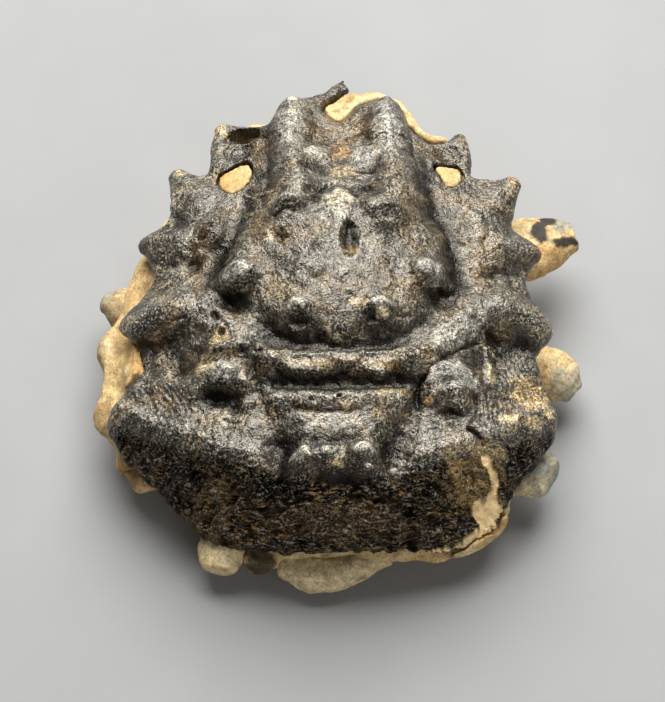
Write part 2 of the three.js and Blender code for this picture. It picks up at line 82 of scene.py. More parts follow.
# Swellings: place, half widths, turn in degrees, rise. A negative rise is a hollow.
SWELLINGS = [
    ((0, 3.5), (7.5, 9), 0, 1.0),  # gastric crown
    ((0.4, 9.4), (1.9, 3.8), 0, 0.8),  # middle ridge
    ((-2.3, 17.2), (1.4, 1.4), 0, 1.3),  # frontal pair
    ((2.8, 17.0), (1.5, 1.6), 0, 1.1),
    ((-5.5, 8.4), (1.6, 1.3), 0, 1.5),  # protogastric pair
    ((5.0, 7.6), (2.1, 1.8), 0, 1.7),
    ((-10.9, 1.2), (2.4, 2.2), 0, 1.5),  # mesogastric pair
    ((9.8, 1.0), (2.4, 2.2), 0, 1.4),
    ((-4.4, -4.4), (1.6, 1.5), 0, 0.8),  # metagastric pair
    ((4.3, -4.4), (1.6, 1.5), 0, 0.9),
    ((-9.2, 0.6), (3.6, 3.4), 0, -0.9),  # dips round them
    ((9.2, 1.0), (3.6, 3.4), 0, -0.9),
    ((-4.4, -4.8), (2.7, 2.4), 0, -0.5),
    ((4.1, -4.9), (2.7, 2.4), 0, -0.5),
    ((-11.4, -1.9), (1.7, 1.0), -20, -1.3),  # deep hollows behind the mesogastric pair
    ((10.9, -1.3), (1.7, 1.0), 15, -1.1),
    ((-14.2, 7.9), (2.2, 1.9), 20, 1.9),  # hepatic pair
    ((16.2, 7.2), (1.6, 3.2), 10, 1.4),
    ((-12.6, -10.6), (2.9, 1.7), -15, 1.9),  # branchial pair
    ((12.0, -11.4), (2.5, 2.2), 0, 1.8),
    ((-12.9, -13.0), (2.0, 0.9), -10, -1.2),
    ((-20.0, 12.6), (2.0, 3.0), -20, 1.2),  # front flank of the first lateral thorn
    ((-21.6, -6.0), (1.6, 2.6), 0, -0.8),
    ((-18.2, -6.8), (3.0, 2.8), 0, -0.8),  # branchial hollows
    ((17.8, -6.8), (2.8, 2.4), 0, -0.8),
    ((-0.2, -17.4), (4.6, 3.0), 0, 0.5),  # cardiac region and its three knobs
    ((-3.8, -20.9), (1.4, 1.4), 0, 1.4),
    ((-1.1, -20.2), (1.2, 1.2), 0, 0.9),
    ((2.8, -20.4), (1.5, 1.4), 0, 1.5),
    ((3.3, -22.2), (1.0, 0.8), 0, 0.8),
    ((-6.2, -19.8), (1.5, 2.2), 0, -1.4),  # hollows beside and under the knobs
    ((5.9, -19.2), (1.4, 2.2), 0, -1.3),
    ((-0.6, -18.4), (4.2, 0.8), 0, -0.6),
    ((0.1, -22.6), (2.6, 1.0), 0, -2.2),
    ((0, -26), (11, 2.6), 0, 0.6),  # lower back
]

# The wavy rear edge of the transverse fold.
FOLD_REAR_EDGE = [
    (-7.2, -9.9), (-6.4, -9.8), (-5.2, -10.5), (-3.6, -10.9), (-2.2, -10.7), (-1.0, -10.0), (0.5, -9.8),
    (1.8, -10.1), (2.8, -10.8), (4.2, -11.0), (5.2, -10.5), (6.2, -10.0), (7.4, -9.7),
]
# Ridges along a line: the line, half width, rise. A negative rise is a groove.
RIDGES = [
    ([(-5.2, 24.6), (-5.8, 20.0), (-5.4, 15.5), (-4.8, 11.5)], 2.2, 2.2),  # horns
    ([(5.4, 24.6), (6.0, 19.5), (6.6, 15.0), (6.7, 11.0)], 2.3, 2.2),
    ([(-23, -2.2), (-18.4, -1.8), (-14, -2.2), (-11, -5.2)], 2.7, 1.4),  # branchial arches
    ([(23, -2.4), (18.2, -1.3), (14.3, -2.8), (9.3, -7.5)], 2.7, 1.4),
    ([(-13, -7.4), (-10.4, -7.8), (-7.4, -9.4)], 0.9, 0.9),  # knobbly ridge
    ([(-7.4, -8.9), (0, -9.2), (7.6, -8.8)], 0.9, 0.8),  # front edge of the transverse fold
    (FOLD_REAR_EDGE, 0.8, 0.8),
    ([(-6.4, -11.7), (0, -12.0), (6.2, -11.6)], 0.75, -1.7),  # the groove behind it
    ([(-6.8, -13.4), (0, -13.8), (6.6, -13.4)], 1.1, 0.55),  # rear fold
    ([(-8.8, -11.0), (-7.9, -14.5), (-6.4, -18.4), (-5.9, -20.4)], 1.4, -0.6),  # cardiac grooves
    ([(8.3, -11.5), (7.4, -16.1), (6.0, -18.4), (5.2, -20.4)], 1.2, -0.9),
    ([(-24, -12.2), (-19, -15.4), (-13, -18.6), (-8.5, -20.6)], 1.5, 0.9),  # crests above the back
    ([(23, -12.5), (19, -15.2), (15, -17.4), (9.2, -20.0)], 1.5, 0.9),
]

# The raised middle of the carapace, shaped like a bell, and the groove round it.
BELL = [
    (-8.0, 19.5), (-9.6, 15.5), (-10.2, 10.4), (-12.2, 5.6), (-13.7, 1.2), (-12.6, -1.6), (-10.6, -3.4),
    (-8.0, -5.4), (-5.4, -7.1), (0, -8.1), (6.0, -7.2), (8.6, -5.6), (10.8, -3.4), (12.5, -0.8), (12.9, 1.8),
    (12.2, 6.0), (10.2, 10.6), (9.4, 15.5), (8.2, 19.5), (0, 20.5),
]
BELL_RISE = 1.9
BELL_ROUNDNESS = 3.2
BELL_FLANK = {"back": 6.0, "back_y": -5.5, "front": 7.5, "front_y": 0.5}
BELL_GROOVE = {"half": 1.8, "rise": -0.6}
BELL_FADE = {"start": 8, "end": 19, "loss": 1.0}

# The edge of the carapace, going round from the front by way of +X.
MARGIN = [
    (0.1, 22.7), (1.0, 23.4), (1.8, 24.9), (3.0, 25.7), (4.4, 26.0), (5.8, 25.9), (6.8, 24.6), (7.8, 22.5),
    (9.1, 20.8), (10.8, 20.3), (12.2, 20.7), (13.6, 21.2), (14.5, 18.8), (15.0, 16.4), (16.6, 15.9),
    (18.8, 15.2), (19.3, 12.6), (19.2, 10.2), (20.7, 8.4), (21.2, 6.6), (20.8, 4.2), (21.2, 1.8),
    (22.2, -1.0), (22.6, -3.2), (21.9, -5.4), (22.1, -7.8), (23.4, -10.6), (23.9, -12.8), (22.6, -15.8),
    (19.4, -19.4), (18.3, -21.4), (16.9, -23.4), (12.6, -25.7), (6.6, -26.5), (0, -26.9), (-7.4, -26.6),
    (-13.6, -25.0), (-17.0, -22.3), (-20.4, -19.1), (-24, -15.2), (-25.4, -12.4), (-23.6, -9.8),
    (-21.7, -7.2), (-22.2, -4.2), (-22.8, -1.4), (-21.6, 1.2), (-20.6, 3.4), (-20.7, 6.0), (-20.6, 8.2),
    (-19.0, 9.8), (-18.4, 12.6), (-17.4, 15.6), (-15.4, 15.8), (-14.2, 17.6), (-13.8, 21.6), (-12.4, 22.4),
    (-10.2, 21.9), (-8.2, 21.8), (-7.0, 23.4), (-5.6, 25.4), (-4.0, 26.6), (-2.5, 27.7), (-1.2, 28.5),
    (-0.6, 29.3), (0.2, 30.3), (0.7, 30.4), (1.0, 29.6), (1.2, 28.8), (0.4, 27.9), (-0.9, 26.7),
    (-1.8, 25.4), (-1.2, 23.8),
]

# Thorns: where each grows from, its tip, and half its width and height where it is thickest.
THORNS = [
    ((-5.2, 20.8), (-5.3, 25.5, 15.5), 1.8, 1.4),  # horns
    ((5.4, 20.6), (5.5, 25.3, 15.5), 1.8, 1.4),
    ((-13.1, 17.4), (-13.4, 23.4, 13.8), 1.0, 1.1),  # left orbital thorn and the rim that closes its socket
    ((-8.4, 21.4), (-13.4, 22.8, 13.6), 0.5, 0.7),
    ((13.5, 18.2), (13.9, 22.3, 13.8), 1.2, 1.0),  # right orbital thorn
    ((-15.2, 11.6), (-18.7, 17.5, 13.8), 2.4, 1.7),  # three pairs of lateral thorns
    ((16.2, 11.2), (20.3, 16.5, 13.8), 2.3, 1.6),
    ((-17.2, 7.2), (-22.5, 8.4, 12.8), 2.2, 1.5),
    ((17.4, 6.2), (22.8, 7.4, 12.8), 2.2, 1.5),
    ((-17.4, -1.8), (-24.4, -1.9, 12.6), 2.3, 1.5),
    ((17.4, -2.0), (23.8, -2.6, 12.6), 2.3, 1.5),
]
# Share of a thorn's length, then of its thickness, from its buried end to its tip.
THORN_SHARES = [-0.34, -0.26, 0, 0.35, 0.64, 0.9, 1]
THORN_THICKNESS = [0, 0.6, 1, 0.88, 0.66, 0.42, 0]
THORN_SINK = 0.9  # the thickest part lies this share of its height under the surface
THORN_REACH = 3.6  # round its axis

# The stone's widest line, going round like MARGIN, as x, y and height.
STONE_BELT = [
    (0.8, 28.9, 12.2), (3.0, 28.2, 12.4), (6.0, 28.3, 12.2), (7.8, 27.0, 12.0), (8.8, 24.4, 11.8),
    (10.0, 22.0, 11.8), (12.4, 21.6, 11.6), (14.6, 18.6, 11.0), (18.2, 14.4, 10.4), (19.8, 8.0, 9.8),
    (20.8, 0, 9), (21.4, -8, 8.5), (22.4, -14.2, 7.6), (19.0, -19.6, 6.6), (18.0, -23.2, 5.8),
    (15.4, -25.2, 5.4), (11.4, -26.2, 5.2), (0, -26.6, 4.8), (-9, -26.0, 5), (-15.0, -22.8, 5.8),
    (-21.0, -17.4, 6.8), (-24.8, -13.6, 8.0), (-26.9, -10.6, 8.8), (-26.2, -6.0, 9), (-26.2, -2, 9.2),
    (-24.8, 1.5, 10.0), (-23.4, 6.0, 10.6), (-21.3, 10.4, 11.2), (-17.8, 15.4, 11.6), (-14.6, 18.8, 11.6),
    (-13.2, 21.8, 11.8), (-11.0, 23.6, 12.0), (-8.4, 24.0, 12.2), (-5.4, 25.4, 12.0), (-2.4, 27.2, 12.0),
]
MIDDLE = (0.0, -1.0)
FOOT_SHARE = 0.74  # the foot's outline on the resting plane, as a share of the belt's
FOOT_WAVE = {"depth": 0.03, "count": 5, "start": 1}
WALL_BULGE = 1.9  # above 1 the wall stays out and then curls under
SHOULDER_FROM = 0.8  # share of the way out where the stone's top starts down to the belt

# Leg pieces as sections from the stone outwards: centre x, y, z, then half width and half height.
LIMBS = {
    "claw_stub_right": [
        (17.6, 9.6, 7.4, 3.4, 2.7), (22.2, 10.9, 7.6, 3.4, 2.7), (24.8, 11.6, 8.0, 2.5, 2.2),
        (26.5, 12.0, 8.3, 1.9, 1.6),
    ],
    "leg_stub_right_middle": [
        (18.8, -2.8, 5.2, 2.9, 2.4), (23.4, -3.6, 5.0, 2.8, 2.4), (25.4, -4.9, 4.7, 2.5, 2.0),
        (26.3, -5.6, 4.5, 1.6, 1.4),
    ],
    "leg_stub_right_rear": [
        (17.6, -13.4, 5.2, 2.6, 2.1), (21.2, -15.9, 5.6, 2.9, 2.4), (23.0, -16.8, 6.0, 2.4, 2.1),
    ],
    "leg_stub_left_front": [
        (-20.0, 1.8, 5.8, 2.5, 2.1), (-24.6, 4.0, 6.0, 2.2, 2.0), (-26.1, 4.6, 6.0, 1.4, 1.3),
    ],
    "leg_stub_left_rear": [
        (-17.4, -12.8, 4.6, 2.3, 1.9), (-20.8, -15.4, 4.9, 2.4, 2.1), (-22.5, -16.8, 5.0, 1.8, 1.6),
    ],
    "leg_knuckle_rear_left": [
        (-11.6, -20.6, 3.9, 2.2, 1.9), (-12.8, -24.6, 3.8, 2.5, 2.2), (-13.1, -26.6, 3.7, 2.0, 1.8),
    ],
    "leg_stub_rear_middle": [
        (-5.8, -25.8, 3.0, 1.8, 1.6), (-2.4, -27.0, 2.8, 2.1, 2.0), (1.5, -26.4, 2.9, 1.7, 1.7),
        (5.2, -25.3, 3.1, 0.9, 1.0),
    ],
}
LIMB_BULGE = 0.1  # the sides swell by this share of their radius
LIMB_CAP = 0.6  # how far the rounded ends stand out
LIMB_CLEARANCE = 0.5  # from the resting plane to the lowest leg piece

# ================================================================ noise
GRADIENTS = np.array(
    [(1, 1, 0), (-1, 1, 0), (1, -1, 0), (-1, -1, 0), (1, 0, 1), (-1, 0, 1), (1, 0, -1), (-1, 0, -1)]
    + [(0, 1, 1), (0, -1, 1), (0, 1, -1), (0, -1, -1), (1, 1, 0), (-1, 1, 0), (0, -1, 1), (0, -1, -1)],
    np.float32,
)
HASH_FACTORS = (374761393, 668265263, 2246822519, 3266489917, 1274126177)
PUSTULE_SCATTER = 0.7  # how far grains stray from a square pattern, as a share of its cells
PUSTULE_STEEPNESS = 1.6
NEIGHBOURS = [(i, j, k) for i in (0, 1) for j in (0, 1) for k in (0, 1)]


def hashed(cells, seed):
    """A repeatable whole number for each lattice cell."""
    parts = cells.astype(np.int64).astype(np.uint32)
    mixed = parts[..., 0] * np.uint32(HASH_FACTORS[0])
    mixed ^= parts[..., 1] * np.uint32(HASH_FACTORS[1])
    mixed ^= parts[..., 2] * np.uint32(HASH_FACTORS[2])
    mixed += np.uint32((seed * HASH_FACTORS[3]) % 2**32)
    mixed ^= mixed >> 13
    mixed *= np.uint32(HASH_FACTORS[4])
    return mixed ^ (mixed >> 16)


def noise(points, size, seed):
    """Smooth noise, about -1 to 1, in lumps about `size` millimetres across, which may differ by axis."""
    scaled = np.asarray(points, np.float32) / np.asarray(size, np.float32)
    base = np.floor(scaled)
    part = scaled - base
    ease = part * part * part * (part * (part * 6 - 15) + 10)
    total = np.zeros(scaled.shape[:-1], np.float32)
    for corner in NEIGHBOURS:
        gradient = GRADIENTS[hashed(base + np.float32(corner), seed) & 15]
        weight = np.prod(np.where(corner, ease, 1 - ease), axis=-1)
        total += weight * np.sum(gradient * (part - np.float32(corner)), axis=-1)
    return total


def layered(points, size, seed, octaves=4, fall=0.5):
    """Noise with finer and weaker noise on top of it."""
    total = 0
    strength = 1.0
    for octave in range(octaves):
        total = total + strength * noise(points, np.asarray(size) / 2**octave, seed + octave)
        strength *= fall
    return total


def ridged(points, size, seed, octaves=3, fall=0.5):
    """Noise with sharp crests, 0 in the troughs and 1 on the crests."""
    total = 0
    strength = 1.0
    whole = 0.0
    for octave in range(octaves):
        total = total + strength * (1 - np.abs(noise(points, np.asarray(size) / 2**octave, seed + octave)))
        whole += strength
        strength *= fall
    return total / whole


def pustules(x, y, size, seed):
    """Round grains packed side by side: 1 in the middle of a grain, 0 between grains."""
    cell_x, cell_y = np.floor(x / size), np.floor(y / size)
    nearest = np.full(np.broadcast(x, y).shape, np.inf)
    for step_x in (-1, 0, 1):
        for step_y in (-1, 0, 1):
            cell = np.stack(np.broadcast_arrays(cell_x + step_x, cell_y + step_y, np.float64(seed)), axis=-1)
            code = hashed(cell, seed)
            centre_x = (cell[..., 0] + 0.5 + PUSTULE_SCATTER * ((code & 255) / 255 - 0.5)) * size
            centre_y = (cell[..., 1] + 0.5 + PUSTULE_SCATTER * (((code >> 8) & 255) / 255 - 0.5)) * size
            nearest = np.minimum(nearest, np.hypot(x - centre_x, y - centre_y) / size)
    return np.clip(1 - PUSTULE_STEEPNESS * nearest, 0, 1)


# ================================================================ lines and blends
LEAST_GAP = 1e-4  # between a curve's points, so that two in one place do no harm


def smoothstep(value, low, high):
    share = np.clip((value - low) / (high - low), 0, 1)
    return share * share * (3 - 2 * share)


def mixed(a, b, share):
    return a + (b - a) * share


def smooth_min(a, b, width):
    blend = np.maximum(width - np.abs(a - b), 0) / width
    return np.minimum(a, b) - blend * blend * width / 4


def smooth_max(a, b, width):
    return -smooth_min(-a, -b, width)


def curve(points, closed, pieces):
    """Points along a smooth line through the given ones (a centripetal Catmull-Rom spline)."""
    given = np.asarray(points, float)
    if closed:
        around = np.vstack([given[-1:], given, given[:2]])
    else:
        around = np.vstack([2 * given[:1] - given[1:2], given, 2 * given[-1:] - given[-2:-1]])
    spans = len(around) - 3
    laid = []
    for place in np.linspace(0, spans, pieces, endpoint=not closed):
        span = min(int(place), spans - 1)
        share = place - span
        before, start, end, after = around[span : span + 4]
        legs = ((before, start), (start, end), (end, after))
        gaps = [max(np.linalg.norm(b - a) ** 0.5, LEAST_GAP) for a, b in legs]
        pace = (end - start) / gaps[1]
        out = ((start - before) / gaps[0] - (end - before) / (gaps[0] + gaps[1]) + pace) * gaps[1]
        into = (pace - (after - start) / (gaps[1] + gaps[2]) + (after - end) / gaps[2]) * gaps[1]
        square = -3 * start + 3 * end - 2 * out - into
        cube = 2 * start - 2 * end + out + into
        laid.append(start + share * (out + share * (square + share * cube)))
    return np.array(laid)


def distance_to_line(line, x, y):
    """How far each place is from a line."""
    nearest = np.full(np.broadcast(x, y).shape, np.inf)
    for (ax, ay), (bx, by) in zip(line[:-1], line[1:]):
        dx, dy = bx - ax, by - ay
        share = np.clip(((x - ax) * dx + (y - ay) * dy) / math.hypot(dx, dy) ** 2, 0, 1)
        nearest = np.minimum(nearest, np.hypot(x - ax - share * dx, y - ay - share * dy))
    return nearest


def is_inside(outline, x, y):
    """True for the places inside a closed outline: a line from each crosses it an odd number of times."""
    inside = np.zeros(np.broadcast(x, y).shape, bool)
    for (ax, ay), (bx, by) in zip(outline, np.roll(outline, -1, axis=0)):
        if ay != by:
            inside ^= ((ay > y) != (by > y)) & (x < (bx - ax) * (y - ay) / (by - ay) + ax)
    return inside


def outline_distance(outline, x, y):
    """Distance to a closed outline, negative inside it."""
    distance = distance_to_line(np.vstack([outline, outline[:1]]), x, y)
    return np.where(is_inside(outline, x, y), -distance, distance)


class Plan:
    """Numbers laid out over the XY plane, which can be read anywhere between their points."""

    LOW = (-29.0, -31.0)
    HIGH = (29.0, 31.5)

    def __init__(self, function, step):
        self.step = step
        self.x = np.arange(self.LOW[0], self.HIGH[0] + step, step)
        self.y = np.arange(self.LOW[1], self.HIGH[1] + step, step)
        self.values = np.asarray(function(self.x[:, None], self.y[None, :]), float)

    def at(self, x, y):
        across = np.clip((x - self.LOW[0]) / self.step, 0, len(self.x) - 1.001)
        along = np.clip((y - self.LOW[1]) / self.step, 0, len(self.y) - 1.001)
        i, j = across.astype(int), along.astype(int)
        u, v = across - i, along - j
        near = self.values[i, j] * (1 - v) + self.values[i, j + 1] * v
        far = self.values[i + 1, j] * (1 - v) + self.values[i + 1, j + 1] * v
        return near * (1 - u) + far * u


def blurred(values, radius):
    """Each value averaged with those within `radius` steps, three times over."""
    for _ in range(3):
        for axis in (0, 1):
            ends = [(radius + 1, radius) if a == axis else (0, 0) for a in (0, 1)]
            padded = np.pad(values, ends, mode="edge")
            sums = np.cumsum(padded, axis=axis)
            length = values.shape[axis]
            high = np.take(sums, range(2 * radius + 1, 2 * radius + 1 + length), axis=axis)
            low = np.take(sums, range(length), axis=axis)
            values = (high - low) / (2 * radius + 1)
    return values


# ================================================================ heights of the carapace
BELL_LINE = curve(BELL, closed=True, pieces=64)
MARGIN_LINE = curve(MARGIN, closed=True, pieces=360)
STONE_LINE = curve(STONE_BELT, closed=True, pieces=240)
COARSE_STEP = 0.3
FINE_STEP = 0.1
BROAD_SOFTENING = 3  # steps of the fine plan over which the broad relief is blurred
GROOVE_ROUNDING = 1.0

margin_plan = Plan(lambda x, y: outline_distance(MARGIN_LINE, x, y), COARSE_STEP)
bell_plan = Plan(lambda x, y: outline_distance(BELL_LINE, x, y), COARSE_STEP)


def oval_place(middle, half, turn, x, y):
    """Where each place lies across and along a turned oval, in half widths."""
    cos, sin = math.cos(math.radians(turn)), math.sin(math.radians(turn))
    dx, dy = x - middle[0], y - middle[1]
    return (dx * cos + dy * sin) / half[0], (dy * cos - dx * sin) / half[1]


def swelling_height(swelling, x, y):
    middle, half, turn, rise = swelling
    across, along = oval_place(middle, half, turn, x, y)
    return rise * np.exp(-across * across - along * along)


def ridge_height(ridge, x, y):
    line, half, rise = ridge
    return rise * np.exp(-((distance_to_line(line, x, y) / half) ** 2))


def bell_height(x, y):
    distance = bell_plan.at(x, y)
    groove = BELL_GROOVE["rise"] * np.exp(-((distance / BELL_GROOVE["half"]) ** 2))
    widening = smoothstep(y, BELL_FLANK["back_y"], BELL_FLANK["front_y"])
    flank = mixed(BELL_FLANK["back"], BELL_FLANK["front"], widening)
    plateau = BELL_RISE * (1 - (1 - np.clip(-distance / flank, 0, 1)) ** BELL_ROUNDNESS)
    return (groove + plateau) * (1 - BELL_FADE["loss"] * smoothstep(y, BELL_FADE["start"], BELL_FADE["end"]))


def dome_height(x, y):
    side = SIDE_FALL * (np.abs(x) / HALF_WIDTH) ** SIDE_POWER
    return CROWN_HEIGHT - side - FRONT_FALL * (y - SUMMIT_Y) ** 2


def plain_height(x, y):
    """The dome, broken down into a steep slope behind the crest."""
    crest = CREST_Y + CREST_SWEEP * np.abs(x) + CREST_CURL * x * x
    back = dome_height(x, crest) - (BACK_STEEPNESS - BACK_EASING * np.abs(x)) * (crest - y)
    return smooth_min(dome_height(x, y), back, BREAK_ROUNDING)


def seat_height(x, y):
    """The carapace's underside, which thins towards its edge."""
    return plain_height(x, y) - SHELL + RIM_LIFT * smoothstep(margin_plan.at(x, y), -RIM_WIDTH, 0)


def broad_height(x, y):
    """The carapace's top with its broad relief, much as the CAD part has it."""
    relief = bell_height(x, y)
    for swelling in SWELLINGS:
        relief = relief + swelling_height(swelling, x, y)
    for ridge in RIDGES:
        relief = relief + ridge_height(ridge, x, y)
    return plain_height(x, y) + smooth_max(relief, -DEEPEST_GROOVE, GROOVE_ROUNDING)


broad_plan = Plan(broad_height, FINE_STEP)
broad_plan.values = blurred(broad_plan.values, BROAD_SOFTENING)


# ---------------------------------------------------------------- fine relief, which the CAD part leaves out
# Knobs: place, half widths, turn in degrees, rise.
KNOBS = [
    ((-2.1, 3.9), (0.9, 0.8), 0, 0.4),  # small ones on the gastric crown
    ((-2.1, 0.0), (0.7, 0.6), 0, 0.6),
    ((-3.9, 1.2), (0.7, 0.5), 0, 0.3),
    ((0.2, -0.4), (0.6, 0.5), 0, 0.25),
    ((-3.6, 6.2), (1.0, 0.8), 20, 0.35),
    ((-0.1, 8.6), (1.2, 1.6), 0, 0.5),  # middle ridge
    ((0.6, 6.2), (0.8, 0.7), 0, 0.3),
    ((-5.4, 8.9), (1.2, 0.6), -8, 0.6),  # crowns of the protogastric pair
    ((-6.2, 6.4), (1.3, 0.8), 12, 0.5),
    ((3.2, 8.4), (0.6, 0.9), 20, 0.5),
    ((4.6, 9.2), (0.9, 0.5), 0, 0.45),
    ((6.8, 7.4), (0.6, 0.9), -10, 0.4),
    ((-11.4, 1.6), (0.8, 0.6), 10, 0.35),
    ((-9.2, 0.6), (0.7, 0.5), 0, 0.3),
    ((9.2, 1.6), (0.8, 0.7), -10, 0.35),
    ((8.6, 0.6), (0.6, 0.5), 0, 0.3),
    ((-4.8, -3.6), (0.7, 0.4), 0, 0.3),
    ((4.7, -3.6), (0.7, 0.4), 0, 0.3),
    ((5.4, -4.9), (0.4, 0.6), 0, 0.35),
    ((-14.0, 8.4), (0.9, 0.7), 0, 0.6),  # hepatic pair
    ((-13.0, 6.6), (0.7, 0.8), 0, 0.45),
    ((-17.4, 6.4), (0.8, 1.0), 30, 0.4),
    ((13.7, 7.4), (0.9, 1.8), 8, 0.6),
    ((15.0, 10.4), (0.8, 0.9), 0, 0.4),
    ((19.6, 7.2), (1.2, 0.6), 10, 0.45),
    ((-19.0, 14.2), (0.7, 1.2), 20, 0.35),
    ((-13.3, -7.6), (0.65, 0.5), 0, 0.6),  # knobs of the knobbly ridge
    ((-11.3, -7.9), (0.65, 0.5), 0, 0.6),
    ((-9.5, -7.6), (0.65, 0.5), 0, 0.6),
    ((-7.7, -7.8), (0.7, 0.5), 0, 0.6),
    ((-8.6, -9.4), (0.6, 0.5), 0, 0.4),
    ((-12.6, -4.6), (0.6, 0.5), 0, 0.35),
    ((-15.6, -6.2), (0.9, 0.6), 30, 0.45),
    ((-11.7, -10.2), (0.9, 0.6), -10, 0.6),
    ((-13.9, -10.1), (0.9, 0.6), -10, 0.55),
    ((-10.0, -11.6), (0.8, 0.7), 0, 0.5),
    ((-15.4, -12.0), (0.9, 0.7), 20, 0.5),
    ((-9.4, -13.6), (0.7, 0.7), 0, 0.5),
    ((9.2, -8.4), (0.7, 0.6), 0, 0.5),
    ((7.8, -9.3), (0.6, 0.5), 0, 0.4),
    ((11.6, -9.9), (1.6, 0.5), 6, 0.6),
    ((9.8, -11.6), (0.5, 1.2), -14, 0.5),
    ((13.8, -11.0), (0.6, 0.9), 0, 0.5),
    ((10.6, -13.2), (0.9, 0.7), 0, 0.5),
    ((13.0, -13.8), (0.9, 0.7), 0, 0.4),
    ((-3.6, -11.0), (1.6, 0.6), 0, 0.5),  # lobes of the transverse fold, and the gaps between them
    ((4.0, -11.1), (1.3, 0.6), 0, 0.5),
    ((-5.2, -10.8), (0.6, 0.5), 0, 0.35),
    ((-2.0, -10.9), (0.6, 0.5), 0, 0.3),
    ((-6.6, -10.4), (0.5, 0.5), 0, -0.5),
    ((-2.9, -11.1), (0.3, 0.5), 0, -0.3),
    ((0.5, -10.7), (0.9, 0.6), 0, -0.5),
    ((0.5, -10.0), (0.9, 0.3), 0, 0.3),
    ((3.2, -11.2), (0.3, 0.5), 0, -0.3),
    ((6.0, -10.7), (0.6, 0.6), 0, -0.4),
    ((6.8, -10.0), (0.5, 0.4), 0, 0.35),
    ((-4.8, -9.0), (0.5, 0.3), 0, 0.25),
    ((2.2, -9.2), (0.6, 0.3), 0, 0.25),
    ((-3.6, -13.3), (1.2, 0.6), 0, 0.25),  # lobes of the rear fold
    ((0.2, -13.4), (1.5, 0.8), 0, 0.3),
    ((3.6, -13.3), (1.1, 0.6), 0, 0.2),
    ((-24.0, -11.0), (1.0, 0.9), 0, 0.6),  # lumps at the rear corners
    ((-22.4, -12.6), (1.0, 0.8), 0, 0.6),
    ((-20.8, -14.0), (0.8, 0.7), 0, 0.45),
    ((-23.8, -13.4), (0.9, 0.7), 0, 0.5),
    ((-22.2, -9.4), (0.9, 0.8), 0, 0.5),
    ((22.6, -11.6), (0.8, 0.7), 0, 0.4),
    ((20.0, -14.0), (1.0, 0.6), 0, 0.4),
    ((-22.4, -3.0), (1.2, 1.0), 0, 0.5),  # bosses of the outer thorns
    ((-19.0, -1.2), (1.6, 0.8), 10, 0.4),
    ((21.8, -3.2), (1.0, 0.8), 0, 0.45),
    ((18.6, -1.4), (1.4, 1.2), -10, 0.5),
    ((12.6, -4.6), (1.6, 0.6), 35, 0.35),
]
# Flat-topped knobs, in the same way.
BOSSES = [
    ((-10.9, 0.7), (1.9, 1.6), 0, 1.3),  # mesogastric pair
    ((9.8, 0.6), (1.9, 1.6), 0, 1.3),
    ((-4.4, -4.1), (1.3, 1.0), 0, 1.1),  # metagastric pair
    ((4.5, -4.0), (1.3, 1.0), 0, 1.1),
    ((-3.9, -20.4), (1.4, 1.1), 0, 1.5),  # cardiac knobs
    ((-1.1, -19.7), (1.1, 0.8), 0, 0.9),
    ((2.7, -19.9), (1.4, 1.1), 0, 1.4),
    ((3.2, -21.6), (0.6, 0.4), 0, 0.8),
    ((-5.4, 8.7), (1.3, 0.8), -8, 0.4),  # protogastric pair
    ((5.2, 7.9), (1.7, 1.3), 0, 0.5),
]
